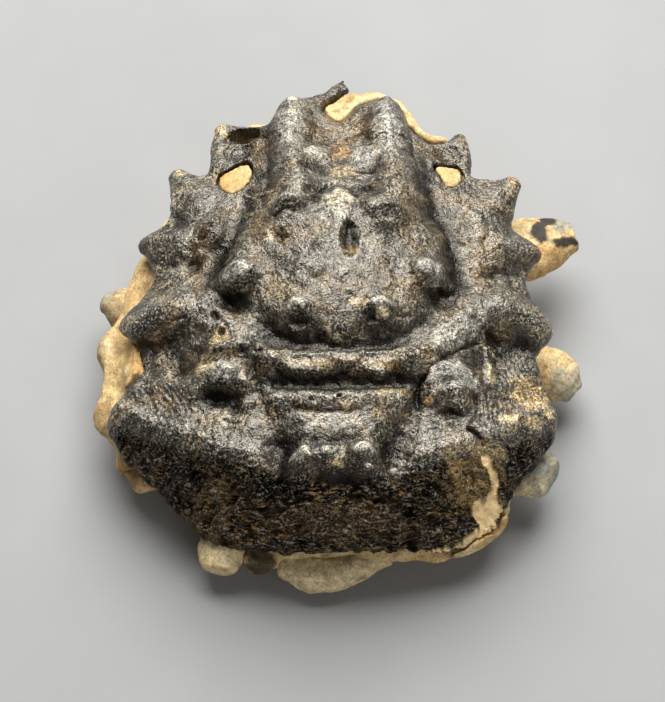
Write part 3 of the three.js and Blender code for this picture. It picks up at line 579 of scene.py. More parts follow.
# Pits: place, half widths, turn in degrees, depth, and how far a rim stands up round it.
PITS = [
    ((-3.8, -20.9), (0.5, 0.4), 0, 0.7, 0.15),  # in the left cardiac knob
    ((1.2, 3.9), (0.9, 1.7), 4, 0.8, 0.12),  # the eye-shaped pit on the crown
    ((1.3, 5.6), (0.4, 0.4), 0, 0.5, 0),
    ((3.6, -5.2), (0.8, 0.5), -10, 0.7, 0.15),  # at the foot of the metagastric knobs
    ((-4.1, -5.4), (1.1, 0.5), 0, 0.7, 0.1),
    ((5.2, 7.0), (0.8, 0.7), 0, 0.5, 0.15),  # in the right protogastric knob
    ((-6.3, 4.9), (0.8, 0.6), 0, 0.6, 0),
    ((2.9, 11.2), (0.7, 0.6), 0, 0.5, 0),
    ((-2.9, 10.8), (1.2, 0.6), 25, 0.4, 0),
    ((-11.3, -1.7), (1.2, 0.8), -20, 0.6, 0),
    ((10.8, -0.9), (1.2, 0.7), 15, 0.5, 0),
    ((-15.0, 6.9), (0.6, 0.5), 0, 1.0, 0.1),
    ((-16.1, 5.7), (0.5, 0.5), 0, 0.7, 0),
    ((-16.0, 3.9), (1.2, 0.9), 20, 0.7, 0),
    ((-17.6, 9.6), (0.9, 1.4), 30, 0.5, 0),
    ((-12.7, -5.6), (0.42, 0.4), 0, 0.8, 0.25),  # the crater
    ((-13.4, -3.5), (0.5, 0.5), 0, 0.6, 0),
    ((-10.4, -8.2), (0.45, 0.35), 0, 0.6, 0),
    ((-8.6, -8.2), (0.45, 0.35), 0, 0.6, 0),
    ((-12.6, -12.6), (1.8, 0.6), -10, 0.8, 0),
    ((-10.8, -14.4), (1.2, 0.6), -30, 0.6, 0),
    ((-17.0, -8.4), (1.4, 0.9), 10, 0.6, 0),
    ((11.8, -11.7), (0.9, 0.6), 10, 0.9, 0),
    ((12.0, -14.8), (1.0, 0.5), 0, 0.6, 0),
    ((14.9, -12.6), (0.5, 0.9), 0, 0.5, 0),
    ((0.1, -13.7), (0.34, 0.18), 0, 0.8, 0.1),  # the tiny hole in the rear fold
    ((16.7, -5.4), (1.0, 0.6), -30, 0.6, 0),
    ((20.4, -5.2), (1.4, 0.6), 0, 0.5, 0),
    ((17.0, 3.0), (1.6, 0.8), 20, 0.6, 0),
    ((16.6, 6.0), (0.7, 1.4), 0, 0.5, 0),
    ((-19.6, -5.2), (2.0, 0.9), 10, 0.5, 0),
    ((-21.6, -4.8), (1.2, 0.6), 0, 0.5, 0),
    ((-3.2, 14.4), (1.4, 0.5), 5, 0.35, 0),  # troughs behind the frontal pair
    ((3.0, 14.2), (1.2, 0.5), -5, 0.3, 0),
]
# The groove that runs in from the right flank and down beside the right branchial knob.
SUTURE = [(14.9, -6.0), (12.5, -7.9), (10.9, -9.4), (9.7, -10.4), (8.8, -11.5), (8.4, -13.0), (8.5, -14.4)]
# Creases, sharper than the broad ridges: the line, half width, rise.
CREASES = [
    ([(-5.4, 25.4), (-5.9, 21.5), (-5.4, 17.5), (-4.6, 14.0)], 0.9, 0.5),  # crests of the horns
    ([(5.5, 25.2), (5.6, 21.5), (5.6, 17.5), (6.0, 13.8), (5.8, 11.0)], 0.8, 0.5),
    ([(7.2, 24.0), (8.0, 20.4), (8.8, 15.5), (9.2, 12.6)], 0.3, -0.25),
    ([(-7.8, 22.0), (-7.8, 18.4), (-7.6, 14.0), (-8.2, 10.0)], 0.5, -0.4),
    ([(-2.4, 9.4), (-1.7, 11.2), (-0.1, 12.0), (1.4, 11.3), (2.0, 9.6)], 0.45, -0.5),  # arch round the ridge
    ([(-7.1, 7.4), (-6.1, 7.7), (-4.9, 7.5)], 0.16, -0.4),  # slit under the left protogastric knob
    ([(-6.6, 19.3), (-5.9, 20.2), (-5.2, 20.8)], 0.14, -0.4),  # cracks
    ([(-10.6, 12.4), (-9.2, 11.6), (-7.4, 11.4)], 0.14, 0.25),
    ([(-20.3, -4.0), (-18.2, -3.3), (-16.5, -3.2)], 0.2, -0.5),
    ([(14.2, -16.4), (14.9, -17.0), (15.6, -17.6)], 0.3, -0.9),
    ([(-14.1, -1.6), (-13.2, -3.6), (-12.3, -5.0)], 0.3, -0.3),
    ([(-7.6, -8.6), (-4, -8.7), (0, -9.0), (4, -8.7), (7.0, -8.3)], 0.3, 0.3),  # edge of the fold
    ([(-4.6, -14.9), (-2, -15.2), (1.6, -15.1)], 0.22, -0.4),
    (SUTURE, 0.2, -0.6),
    ([(14.2, -5.2), (11.6, -7.4), (9.4, -9.2), (8.2, -10.6)], 0.7, 0.5),
    ([(-9.2, -9.6), (-8.7, -11.4), (-8.2, -13.2), (-7.6, -15.0)], 0.25, -0.2),
    ([(16.3, -6.4), (16.5, -8.4), (16.4, -10.6)], 0.4, 0.5),
    ([(-23.6, -1.9), (-20.6, -2.0), (-18.0, -1.5)], 0.8, 0.35),  # crests of the outer thorns
    ([(23.0, -2.6), (20.2, -2.0), (17.6, -1.6)], 0.8, 0.35),
    ([(-21.2, 8.3), (-18.6, 7.8), (-16.6, 7.2)], 0.6, 0.4),
    ([(21.4, 7.2), (18.8, 6.8), (17.2, 6.4)], 0.6, 0.35),
    ([(-18.4, 16.8), (-16.4, 13.8), (-15.2, 11.0)], 0.6, 0.45),
    ([(-19.2, 15.6), (-18.6, 12.2), (-19.4, 9.6)], 0.5, 0.3),
    ([(19.8, 15.8), (17.8, 13.2), (16.2, 10.6)], 0.6, 0.4),
]
# Fans of fine parallel ridges: middle, half widths, turn of the ridges in degrees from +Y, spacing, rise.
STRIAE = [
    ((-19.2, -12.0), (3.2, 2.4), 32, 0.55, 0.22),
    ((20.4, -10.2), (2.8, 2.6), 30, 0.62, 0.45),
    ((15.8, -13.4), (2.0, 1.8), 4, 0.5, 0.2),
    ((16.6, -9.0), (0.9, 2.6), -6, 0.6, 0.18),
    ((-8.6, -17.0), (2.4, 2.6), 24, 0.6, 0.12),
    ((4.8, -17.2), (1.6, 2.0), -30, 0.5, 0.1),
    ((-17.6, 13.2), (1.6, 2.6), 30, 0.5, 0.12),
    ((17.2, 8.6), (2.0, 4.0), 20, 0.6, 0.14),
]
# Patches of packed grains: middle, half widths, turn, grain size, rise.
GRAINS = [
    ((-13.6, -16.4), (4.6, 1.9), -28, 0.8, 0.28),
    ((-8.4, -10.8), (2.2, 1.8), 0, 0.7, 0.2),
    ((12.5, -16.6), (3.6, 1.7), 20, 0.7, 0.2),
    ((-2.6, -20.0), (2.2, 1.3), 0, 0.5, 0.18),
    ((8.2, -20.0), (3.6, 2.0), 10, 0.7, 0.16),
    ((-23.0, -12.6), (2.6, 2.6), 0, 0.9, 0.3),
    ((11.6, -12.4), (2.4, 2.0), 0, 0.6, 0.18),
    ((-15.4, -4.0), (3.4, 2.4), 0, 0.6, 0.12),
]
# Where the carapace has flaked away down the back, baring tan stone.
BARE_STRIP = [
    (15.2, -18.6), (16.0, -18.4), (16.9, -19.2), (17.3, -20.4), (17.2, -21.4), (18.2, -22.2), (17.6, -24.0),
    (14.6, -26.0), (12.0, -27.0), (9.4, -27.0), (9.8, -26.3), (12.4, -25.7), (14.0, -24.8), (15.4, -23.6),
    (14.5, -22.8), (14.8, -22.2), (16.0, -21.6), (16.6, -20.6), (16.2, -19.5), (15.4, -19.1),
]
BARE_SINK = 0.5  # how far the bare stone lies below the carapace
BARE_EDGE = {"ragged": 0.3, "size": 1.1, "seed": 95, "soft": 0.1}
PIT_SHARPNESS = 2.6
RIM_AT = 1.35  # a pit's rim stands at this many times its half width
RIM_HALF = 0.3
STRIAE_SHARPNESS = 1.4
STRIAE_LEVEL = 0.4  # taken off the fine ridges, so that they don't lift the surface
GRAIN_SEED = 5
# Steps across the steep back, which bend with x, wander, and show only in places.
TERRACES = {"spacing": 0.62, "rise": 0.4, "curl": 0.014, "warp": 0.9, "size": (3.0, 1.6, 1), "seed": 51}
TERRACES_SHOWN = {"size": (2.6, 1.2, 1), "seed": 57, "none": -0.3, "full": 0.35}
FLAKES = {"size": (1.7, 0.7, 1.0), "rise": 1.9, "seed": 53, "level": 0.7}
# How far lines wander sideways, over what length, and how much of that the broad relief takes part in.
SWAY = {"across": 0.34, "size": 1.7, "broad_share": 0.8, "seeds": (41, 44)}
SKIN = [(3.0, 0.14, 11), (1.4, 0.11, 21), (0.7, 0.06, 31)]  # lump size, height and seed of the uneven skin
THINNEST = 0.35
REAR_FROM = {"none": 0.2, "full": 1.2}  # of the height lost behind the crest


def flat_points(x, y):
    """Places on the plan as points for the noise."""
    across, along = np.broadcast_arrays(x, y)
    return np.stack([across, along, np.zeros_like(across)], axis=-1)


def patch(middle, half, turn, x, y):
    """1 in the middle of a turned oval, fading to 0 at about twice its half widths."""
    return swelling_height((middle, half, turn, 1.0), x, y)


def pit_height(pit, x, y):
    """A steep-sided pit with a rim."""
    middle, half, turn, depth, rim = pit
    radius = np.hypot(*oval_place(middle, half, turn, x, y))
    return rim * np.exp(-(((radius - RIM_AT) / RIM_HALF) ** 2)) - depth * np.exp(-(radius**PIT_SHARPNESS))


def boss_height(boss, x, y):
    """A steep-sided knob: a pit turned upwards, with no rim."""
    middle, half, turn, rise = boss
    return pit_height((middle, half, turn, -rise, 0), x, y)


def combed(turn, spacing, wander, x, y):
    """Fine parallel ridges, 0 to 1, that run at `turn` degrees from +Y."""
    across = x * math.cos(math.radians(turn)) + y * math.sin(math.radians(turn))
    place = (across + wander) / spacing
    return np.abs(2 * (place - np.floor(place)) - 1) ** STRIAE_SHARPNESS


def rear_share(x, y):
    """0 on the dome, 1 on the steep back."""
    lost = dome_height(x, y) - plain_height(x, y)
    return smoothstep(lost, REAR_FROM["none"], REAR_FROM["full"])


def bare_share(x, y):
    """1 where the carapace has flaked off the back, with a ragged edge."""
    ragged_by = BARE_EDGE["ragged"] * layered(flat_points(x, y), BARE_EDGE["size"], BARE_EDGE["seed"])
    distance = outline_distance(curve(BARE_STRIP, closed=True, pieces=90), x, y) + ragged_by
    return 1 - smoothstep(distance, -BARE_EDGE["soft"], BARE_EDGE["soft"])


bare_plan = Plan(bare_share, FINE_STEP)


def wandering(places, seed):
    return SWAY["across"] * layered(places, SWAY["size"], seed, octaves=3)


def back_relief(places, x, y, bent_x, bent_y):
    """Broken terraces and flakes, which only the steep back has."""
    bow = TERRACES["curl"] * x * x
    warp = TERRACES["warp"] * layered(places, TERRACES["size"], TERRACES["seed"])
    step = (y + bow + warp) / TERRACES["spacing"]
    broken = layered(places, TERRACES_SHOWN["size"], TERRACES_SHOWN["seed"])
    broken = smoothstep(broken, TERRACES_SHOWN["none"], TERRACES_SHOWN["full"])
    terraces = broken * TERRACES["rise"] * (2 * np.abs(step - np.floor(step) - 0.5) - 0.5)
    flakes = ridged(flat_points(bent_x, bent_y + bow), FLAKES["size"], FLAKES["seed"])
    return terraces + FLAKES["rise"] * (flakes - FLAKES["level"])


def top_height(x, y):
    """The carapace's top with all of its relief."""
    places = flat_points(x, y)
    sway_x, sway_y = (wandering(places, seed) for seed in SWAY["seeds"])
    bent_x, bent_y = x + sway_x, y + sway_y
    height = broad_plan.at(mixed(x, bent_x, SWAY["broad_share"]), mixed(y, bent_y, SWAY["broad_share"]))
    details = ((swelling_height, KNOBS), (boss_height, BOSSES), (pit_height, PITS), (ridge_height, CREASES))
    for height_of, rows in details:
        for row in rows:
            height = height + height_of(row, bent_x, bent_y)
    for middle, half, turn, spacing, rise in STRIAE:
        ridges = combed(turn, spacing, sway_x, x, y) - STRIAE_LEVEL
        height = height + rise * ridges * patch(middle, half, turn, x, y)
    for middle, half, turn, size, rise in GRAINS:
        height = height + rise * pustules(bent_x, bent_y, size, GRAIN_SEED) * patch(middle, half, turn, x, y)
    height = height - BARE_SINK * bare_plan.at(bent_x, bent_y)
    height = height + rear_share(x, y) * back_relief(places, x, y, bent_x, bent_y)
    for size, rise, seed in SKIN:
        height = height + rise * layered(places, size, seed, octaves=2)
    return np.maximum(height, seat_height(x, y) + THINNEST)


top_plan = Plan(top_height, FINE_STEP)
seat_plan = Plan(seat_height, COARSE_STEP)


# ================================================================ solids as fields: below zero inside
class Grid:
    """A box of points, `cell` millimetres apart."""

    def __init__(self, low, high, cell):
        self.low = np.asarray(low, float)
        self.cell = cell
        counts = np.ceil((np.asarray(high) - self.low) / cell).astype(int) + 1
        self.axes = [self.low[axis] + cell * np.arange(counts[axis]) for axis in range(3)]

    def around(self, low, high):
        """The part of the grid within a box: its slices, and its x, y and z as arrays that broadcast."""
        slices = []
        for axis in range(3):
            first, last = np.searchsorted(self.axes[axis], (low[axis], high[axis]))
            slices.append(slice(first, max(last, first + 1)))
        x, y, z = (self.axes[axis][slices[axis]].astype(np.float32) for axis in range(3))
        return tuple(slices), x[:, None, None], y[None, :, None], z[None, None, :]

    def whole(self):
        """The x, y and z of the whole grid."""
        return self.around(self.low, [axis[-1] + self.cell for axis in self.axes])[1:]


def surface_of(field, grid):
    """The closed surface where a field crosses zero (surface nets): points and four-sided faces."""
    inside = field < 0
    counts = np.array(field.shape) - 1
    strides = np.array([counts[1] * counts[2], counts[2], 1])
    owners, crossings, rings = [], [], []
    for axis in range(3):
        before = [slice(None)] * 3
        after = [slice(None)] * 3
        before[axis], after[axis] = slice(None, -1), slice(1, None)
        at = np.argwhere(inside[tuple(before)] != inside[tuple(after)])
        next_to = at.copy()
        next_to[:, axis] += 1
        start, end = field[tuple(at.T)], field[tuple(next_to.T)]
        place = at.astype(float)
        place[:, axis] += start / (start - end)
        one, other = [a for a in range(3) if a != axis]
        ring = []
        for step_one, step_other in ((-1, -1), (0, -1), (0, 0), (-1, 0)):
            cell = at.copy()
            cell[:, one] += step_one
            cell[:, other] += step_other
            ring.append(cell @ strides)
        ring = np.stack(ring, axis=1)
        turned = (start < 0) != (axis == 1)
        ring[~turned] = ring[~turned][:, ::-1]
        rings.append(ring)
        owners.append(ring.ravel())
        crossings.append(np.repeat(place, 4, axis=0))
    cells, corner = np.unique(np.concatenate(owners), return_inverse=True)
    places = np.concatenate(crossings)
    shared = np.bincount(corner, minlength=len(cells))
    points = np.stack([np.bincount(corner, places[:, a], len(cells)) / shared for a in range(3)], axis=1)
    faces = corner.reshape(-1, 4)
    return grid.low + points * grid.cell, faces


def thorn_start(thorn):
    """Where a thorn's axis begins, a little under the carapace's top."""
    start, _, _, tall = thorn
    height = top_plan.at(*np.array(start, float))
    return np.array([*start, height - tall * THORN_SINK])


def thorn_box(thorn):
    """A box with the whole thorn in it."""
    start, tip = thorn_start(thorn), np.array(thorn[1])
    back = start + (tip - start) * THORN_SHARES[0]
    return np.minimum(tip, back) - THORN_REACH, np.maximum(tip, back) + THORN_REACH


def thorn_field(thorn, x, y, z):
    """A blunt, flattened thorn along its own axis."""
    _, tip, wide, tall = thorn
    start = thorn_start(thorn)
    along = np.array(tip) - start
    length = np.linalg.norm(along)
    along /= length
    sideways = np.array([-along[1], along[0], 0]) / math.hypot(along[0], along[1])
    upwards = np.cross(along, sideways)
    dx, dy, dz = x - start[0], y - start[1], z - start[2]
    share = (dx * along[0] + dy * along[1] + dz * along[2]) / length
    across = (dx * sideways[0] + dy * sideways[1]) / wide
    over = (dx * upwards[0] + dy * upwards[1] + dz * upwards[2]) / tall
    thickness = np.interp(share, THORN_SHARES, THORN_THICKNESS, left=-1, right=-1)
    return (np.sqrt(across**2 + over**2) - thickness) * min(wide, tall)


def ball_field(at, size, x, y, z):
    """A rounded hollow or lump, flattened by axis."""
    squares = [((value - at[axis]) / size[axis]) ** 2 for axis, value in enumerate((x, y, z))]
    return (np.sqrt(squares[0] + squares[1] + squares[2]) - 1) * min(size)


# ================================================================ the carapace as a solid
SHELL_CELL = 0.17
SHELL_LOW = (-26.4, -28.2, 3.4)
SHELL_HIGH = (25.4, 30.4, 26.4)
EDGE_ROUNDING = 0.7
EDGE_CHIPS = {"size": 1.7, "depth": 0.32, "seed": 61}
EDGE_NICKS = {"size": 0.5, "depth": 0.1, "seed": 65}
THORN_BLEND = 1.7
CUT_REACH = 1  # how far round a cut the surface changes
CUT_ROUNDING = {"break": 0.3, "hollow": 0.4}
# Vertices within `whole` of the top are put on it, those beyond `none` aren't, nor are those near the edge.
SETTLING = {"whole": 0.12, "none": 0.3, "edge": 0.5}
# Places where the carapace is broken through to the stone, as outlines.
BREAKS = {
    "left": [
        (-13.4, 16.1), (-13.7, 14.9), (-13.0, 13.5), (-11.9, 12.9), (-10.4, 13.6), (-9.6, 15.0), (-9.6, 16.6),
        (-10.2, 17.4), (-11.3, 17.2), (-12.5, 16.6),
    ],
    "right": [
        (10.6, 16.9), (11.2, 15.4), (11.8, 14.2), (12.6, 13.8), (13.4, 14.4), (14.1, 15.5), (14.0, 16.7),
        (13.2, 17.4), (11.8, 17.3),
    ],
}
# The stone that the carapace leaves bare between and beside the horns.
FRONT_PATCH = [
    (1.6, 30.0), (0.8, 28.8), (-0.8, 27.4), (-2.2, 26.0), (-2.3, 24.8), (-1.4, 23.2), (0.1, 22.2),
    (1.3, 22.9), (2.1, 24.5), (3.2, 25.3), (5.6, 25.5), (6.4, 24.6), (7.4, 22.4), (8.8, 20.6), (10.8, 20.0),
    (12.6, 20.6), (13.4, 22.2), (11, 24), (8.6, 27.4), (4, 28.8),
]
# Hollows cut into the carapace: place, and half widths. Heights are above the surface there.
HOLLOWS = [
    ((-10.5, 21.2, -0.1), (2.2, 0.95, 1.5)),  # the left eye socket
    ((-11.6, 19.2, 1.1), (2.3, 1.7, 1.5)),  # the dip between it and the break
    ((12.6, 19.0, 1.2), (2.1, 1.7, 1.6)),
]

break_lines = {name: curve(outline, closed=True, pieces=60) for name, outline in BREAKS.items()}
break_plans = {
    name: Plan(lambda x, y, line=line: outline_distance(line, x, y), FINE_STEP * 2)
    for name, line in break_lines.items()
}


def chipped_margin(x, y):
    """Distance to the carapace's edge, which is nibbled."""
    places = flat_points(x, y)
    chips = EDGE_CHIPS["depth"] * layered(places, EDGE_CHIPS["size"], EDGE_CHIPS["seed"], octaves=2)
    nicks = EDGE_NICKS["depth"] * noise(places, EDGE_NICKS["size"], EDGE_NICKS["seed"])
    return outline_distance(MARGIN_LINE, x, y) + chips + nicks


edge_plan = Plan(chipped_margin, FINE_STEP * 2)


def shell_field(grid):
    """Between its top and its seat, inside its edge, with thorns grown on and breaks and hollows cut out."""
    x, y, z = grid.whole()
    plans = (top_plan, seat_plan, edge_plan)
    top, seat, edge = (plan.at(x[..., 0], y[..., 0]).astype(np.float32)[..., None] for plan in plans)
    field = np.maximum(smooth_max(z - top, edge, EDGE_ROUNDING), seat - z)
    for thorn in THORNS:
        part, px, py, pz = grid.around(*thorn_box(thorn))
        grown = np.maximum(thorn_field(thorn, px, py, pz), seat[part[0], part[1]] - pz)
        field[part] = smooth_min(field[part], grown, THORN_BLEND)
    for name, plan in break_plans.items():
        outline = np.array(BREAKS[name])
        low = [*(outline.min(axis=0) - CUT_REACH), grid.low[2]]
        high = [*(outline.max(axis=0) + CUT_REACH), grid.axes[2][-1]]
        part, px, py, pz = grid.around(low, high)
        cut = plan.at(px[..., 0], py[..., 0])[..., None]
        field[part] = smooth_max(field[part], -cut.astype(np.float32), CUT_ROUNDING["break"])
    for (at_x, at_y, above), size in HOLLOWS:
        centre = np.array([at_x, at_y, float(top_plan.at(np.float64(at_x), np.float64(at_y))) + above])
        reach = np.array(size) + CUT_REACH
        part, px, py, pz = grid.around(centre - reach, centre + reach)
        field[part] = smooth_max(field[part], -ball_field(centre, size, px, py, pz), CUT_ROUNDING["hollow"])
    return field


def settled_on_top(points):
    """Vertices near the carapace's top are put exactly on it, so that its fine relief is whole."""
    x, y = points[:, 0], points[:, 1]
    height = top_plan.at(x, y)
    near = 1 - smoothstep(np.abs(points[:, 2] - height), SETTLING["whole"], SETTLING["none"])
    inside = smoothstep(-edge_plan.at(x, y), EDGE_ROUNDING, EDGE_ROUNDING + SETTLING["edge"])
    points[:, 2] += near * inside * (height - points[:, 2])
    return points


# ================================================================ the leg pieces as solids
LIMB_CELL = 0.2
LIMB_SEAT = 0.12  # between a leg piece and its socket in the stone
LIMB_STEPS = 48
LIMB_MARGIN = 1.6  # round it in its grid
LIMB_CAP_ROUNDING = 0.8


def limb_line(name):
    """Points, directions and half sizes along a leg piece."""
    laid = curve([section[:3] for section in LIMBS[name]], closed=False, pieces=LIMB_STEPS)
    direction = np.gradient(laid, axis=0)
    direction /= np.linalg.norm(direction, axis=1, keepdims=True)
    share = np.linspace(0, 1, LIMB_STEPS)
    knots = np.linspace(0, 1, len(LIMBS[name]))
    swell = 1 + LIMB_BULGE * np.sin(math.pi * share)
    radii = np.array([section[3:] for section in LIMBS[name]])
    wide, tall = (np.interp(share, knots, radii[:, which]) * swell for which in (0, 1))
    return laid, direction, wide, tall


limb_lines = {name: limb_line(name) for name in LIMBS}


def limb_box(name):
    laid, _, wide, tall = limb_lines[name]
    reach = max(wide.max(), tall.max()) + LIMB_MARGIN
    return laid.min(axis=0) - reach, laid.max(axis=0) + reach


def limb_field(name, x, y, z):
    """Rounded sections along a curved line, closed by low caps."""
    laid, direction, wide, tall = limb_lines[name]
    best = np.full(np.broadcast(x, y, z).shape, np.inf)
    field = np.zeros_like(best)
    last = len(laid) - 1
    for step, (centre, ahead) in enumerate(zip(laid, direction)):
        dx, dy, dz = x - centre[0], y - centre[1], z - centre[2]
        away = dx * dx + dy * dy + dz * dz
        along = dx * ahead[0] + dy * ahead[1] + dz * ahead[2]
        flat = math.hypot(ahead[0], ahead[1])
        across = (dx * -ahead[1] + dy * ahead[0]) / flat / wide[step]
        over = (dz - along * ahead[2]) / tall[step]
        value = (np.sqrt(across**2 + over**2) - 1) * min(wide[step], tall[step])
        if step in (0, last):
            outwards = along if step == last else -along
            value = smooth_max(value, outwards - LIMB_CAP, LIMB_CAP_ROUNDING)
        field = np.where(away < best, value, field)
        best = np.minimum(best, away)
    return np.maximum(field, LIMB_CLEARANCE - z)


# ================================================================ the stone as a solid
STONE_CELL = 0.27
STONE_LOW = (-28.4, -28.4, -1.0)
STONE_HIGH = (24.6, 29.6, 19.5)
STONE_ROUNDING = 1.2
BREAK_SINK = 0.3  # of the bare stone below the carapace round it
STONE_GAP = 0.16  # between the stone and the carapace's edge
FLOOR_ROUNDING = 0.5
# Where the stone stands higher than the carapace's underside: outlines, rise, and width of the slope to it.
RAISED = [
    ([(-12.4, 25.0), (-12.4, 22.0), (-7.6, 21.6), (-6.6, 24.6)], 1.5, 0.4),
    ([(-20.4, 5.6), (-20.2, 0.6), (-22.4, -1.0), (-24.6, -0.6), (-22.6, 7.4)], 0.3, 0.8),
    ([(-21.6, -3.4), (-21.2, -8.6), (-23.2, -10.2), (-23.4, -3.4)], 1.2, 0.4),
    ([(16.2, -20.2), (19.2, -19.4), (19.4, -25.4), (10.8, -27.2), (13.6, -24.4), (15.4, -22.4)], 1.7, 0.5),
]
# Lumps of stone, as place and half widths.
LUMPS = [
    ((-8.7, -25.6, 3.4), (2.0, 1.5, 1.5)),
    ((-25.4, -9.6, 6.6), (1.5, 2.2, 2.4)),
    ((-25.6, -3.2, 7.6), (1.2, 1.9, 1.7)),
    ((16.2, -21.8, 7.2), (1.5, 1.6, 1.6)),
    ((14.0, -24.2, 5.8), (1.7, 1.0, 1.4)),
    ((-23.0, -15.0, 5.6), (1.6, 1.6, 1.8)),
    ((12.6, 20.2, 9.6), (2.2, 1.4, 1.8)),
]
LUMP_BLEND = 1.4
SLOPE_END = 0.1  # outside an outline, where its slope ends
FRONT_SLOPE = 0.8
BREAK_SLOPE = {"inside": 0.1, "outside": 0.04}  # of the stone's step down to the break's edge
BARE_FROM = 0.5  # outside the carapace's edge, where the stone's top takes its own height


def stone_outline(x, y):
    """Each place's share of the way out to the belt, the belt's height and reach that way, and the angle."""
    reach = np.hypot(STONE_LINE[:, 0] - MIDDLE[0], STONE_LINE[:, 1] - MIDDLE[1])
    turn = np.arctan2(STONE_LINE[:, 1] - MIDDLE[1], STONE_LINE[:, 0] - MIDDLE[0])
    order = np.argsort(turn)
    angle = np.arctan2(y - MIDDLE[1], x - MIDDLE[0])
    reach_here = np.interp(angle, turn[order], reach[order], period=2 * math.pi)
    height_here = np.interp(angle, turn[order], STONE_LINE[order, 2], period=2 * math.pi)
    return np.hypot(x - MIDDLE[0], y - MIDDLE[1]) / reach_here, height_here, reach_here, angle


def raised_height(x, y):
    total = 0
    for outline, rise, slope in RAISED:
        distance = outline_distance(curve(outline, closed=True, pieces=48), x, y)
        total = np.maximum(total, rise * (1 - smoothstep(distance, -slope, SLOPE_END)))
    return total


def front_share(x, y):
    """1 where the stone stands bare between and beside the horns."""
    distance = outline_distance(curve(FRONT_PATCH, closed=True, pieces=80), x, y)
    return 1 - smoothstep(distance, -FRONT_SLOPE, SLOPE_END)


raised_plan = Plan(raised_height, FINE_STEP * 2)
front_plan = Plan(front_share, FINE_STEP * 2)


def stone_top(x, y):
    """The stone's top: it follows the carapace's underside and slopes down to the belt outside it."""
    share, belt, _, _ = stone_outline(x, y)
    seat = seat_plan.at(x, y) - SEAT_GAP
    shoulder = mixed(seat + 2 * SEAT_GAP, belt, smoothstep(share, SHOULDER_FROM, 1))
    outside = smoothstep(edge_plan.at(x, y), 0, BARE_FROM)
    in_break = np.zeros_like(outside)
    low, high = -STONE_GAP - BREAK_SLOPE["inside"], -STONE_GAP + BREAK_SLOPE["outside"]
    for plan in break_plans.values():
        in_break = np.maximum(in_break, 1 - smoothstep(plan.at(x, y), low, high))
    bare = np.maximum(in_break, front_plan.at(x, y) * outside)
    top = np.minimum(shoulder, seat) + raised_plan.at(x, y) * outside
    return mixed(top, broad_plan.at(x, y) - BREAK_SINK, bare)


def stone_field(grid):
    """Under its top, inside walls that curl in to the foot, and clear of carapace, thorns and leg pieces."""
    x, y, z = grid.whole()
    flat_x, flat_y = x[..., 0], y[..., 0]
    share, belt, reach, angle = (part[..., None] for part in stone_outline(flat_x, flat_y))
    wave = 1 + FOOT_WAVE["depth"] * np.sin(FOOT_WAVE["count"] * angle + FOOT_WAVE["start"])
    down = np.clip(1 - z / belt, 0, 1)
    spread = mixed(1, FOOT_SHARE * wave, down**WALL_BULGE)
    above_top = z - stone_top(flat_x, flat_y)[..., None]
    body = smooth_max((share - spread) * reach, above_top, STONE_ROUNDING)
    for at, size in LUMPS:
        body = smooth_min(body, ball_field(np.array(at), size, x, y, z), LUMP_BLEND)
    under_edge = STONE_GAP - edge_plan.at(flat_x, flat_y)[..., None]
    body = np.maximum(body, np.minimum(under_edge, above_top))
    body = smooth_max(body, -z, FLOOR_ROUNDING).astype(np.float32)
    for thorn in THORNS:
        part, px, py, pz = grid.around(*thorn_box(thorn))
        body[part] = np.maximum(body[part], STONE_GAP - thorn_field(thorn, px, py, pz))
    for name in LIMBS:
        part, px, py, pz = grid.around(*limb_box(name))
        body[part] = np.maximum(body[part], LIMB_SEAT - limb_field(name, px, py, pz))
    return body


# ================================================================ meshes in Blender
MOST_TRIANGLES = 190_000  # in one piece
LEAST_LENGTH = 1e-9  # of a normal, so that none is divided by zero


def quad_normals(points, faces):
    """A unit normal for each point."""
    corners = points[faces]
    facing = np.cross(corners[:, 2] - corners[:, 0], corners[:, 3] - corners[:, 1])
    owners = faces.ravel()
    spread = np.repeat(facing, 4, axis=0)
    total = np.stack([np.bincount(owners, spread[:, axis], len(points)) for axis in range(3)], axis=1)
    return total / np.maximum(np.linalg.norm(total, axis=1, keepdims=True), LEAST_LENGTH)


def piece_from(name, points, faces):
    """A Blender object in metres from points in millimetres, thinned if it has too many triangles."""
    mesh = bpy.data.meshes.new(name)
    mesh.vertices.add(len(points))
    mesh.vertices.foreach_set("co", (points * MM).astype(np.float32).ravel())
    mesh.loops.add(faces.size)
    mesh.loops.foreach_set("vertex_index", faces.astype(np.int32).ravel())
    mesh.polygons.add(len(faces))
    mesh.polygons.foreach_set("loop_start", np.arange(0, faces.size, 4, dtype=np.int32))
    mesh.update(calc_edges=True)
    piece = bpy.data.objects.new(name, mesh)
    bpy.context.scene.collection.objects.link(piece)
    triangles = 2 * len(faces)
    if triangles > MOST_TRIANGLES:
        thinning = piece.modifiers.new("thinning", "DECIMATE")
        thinning.ratio = MOST_TRIANGLES / triangles
        bpy.context.view_layer.update()
        seen = piece.evaluated_get(bpy.context.evaluated_depsgraph_get())
        thinned = bpy.data.meshes.new_from_object(seen)
        piece.modifiers.clear()
        piece.data = thinned
        bpy.data.meshes.remove(mesh)
        thinned.name = name
    piece.data.polygons.foreach_set("use_smooth", np.ones(len(piece.data.polygons), bool))
    return piece


def places_of(piece):
    """A piece's points and normals, in millimetres."""
    count = len(piece.data.vertices)
    points = np.empty(count * 3, np.float32)
    piece.data.vertices.foreach_get("co", points)
    normals = np.empty(count * 3, np.float32)
    piece.data.vertex_normals.foreach_get("vector", normals)
    return points.reshape(-1, 3) / MM, normals.reshape(-1, 3)


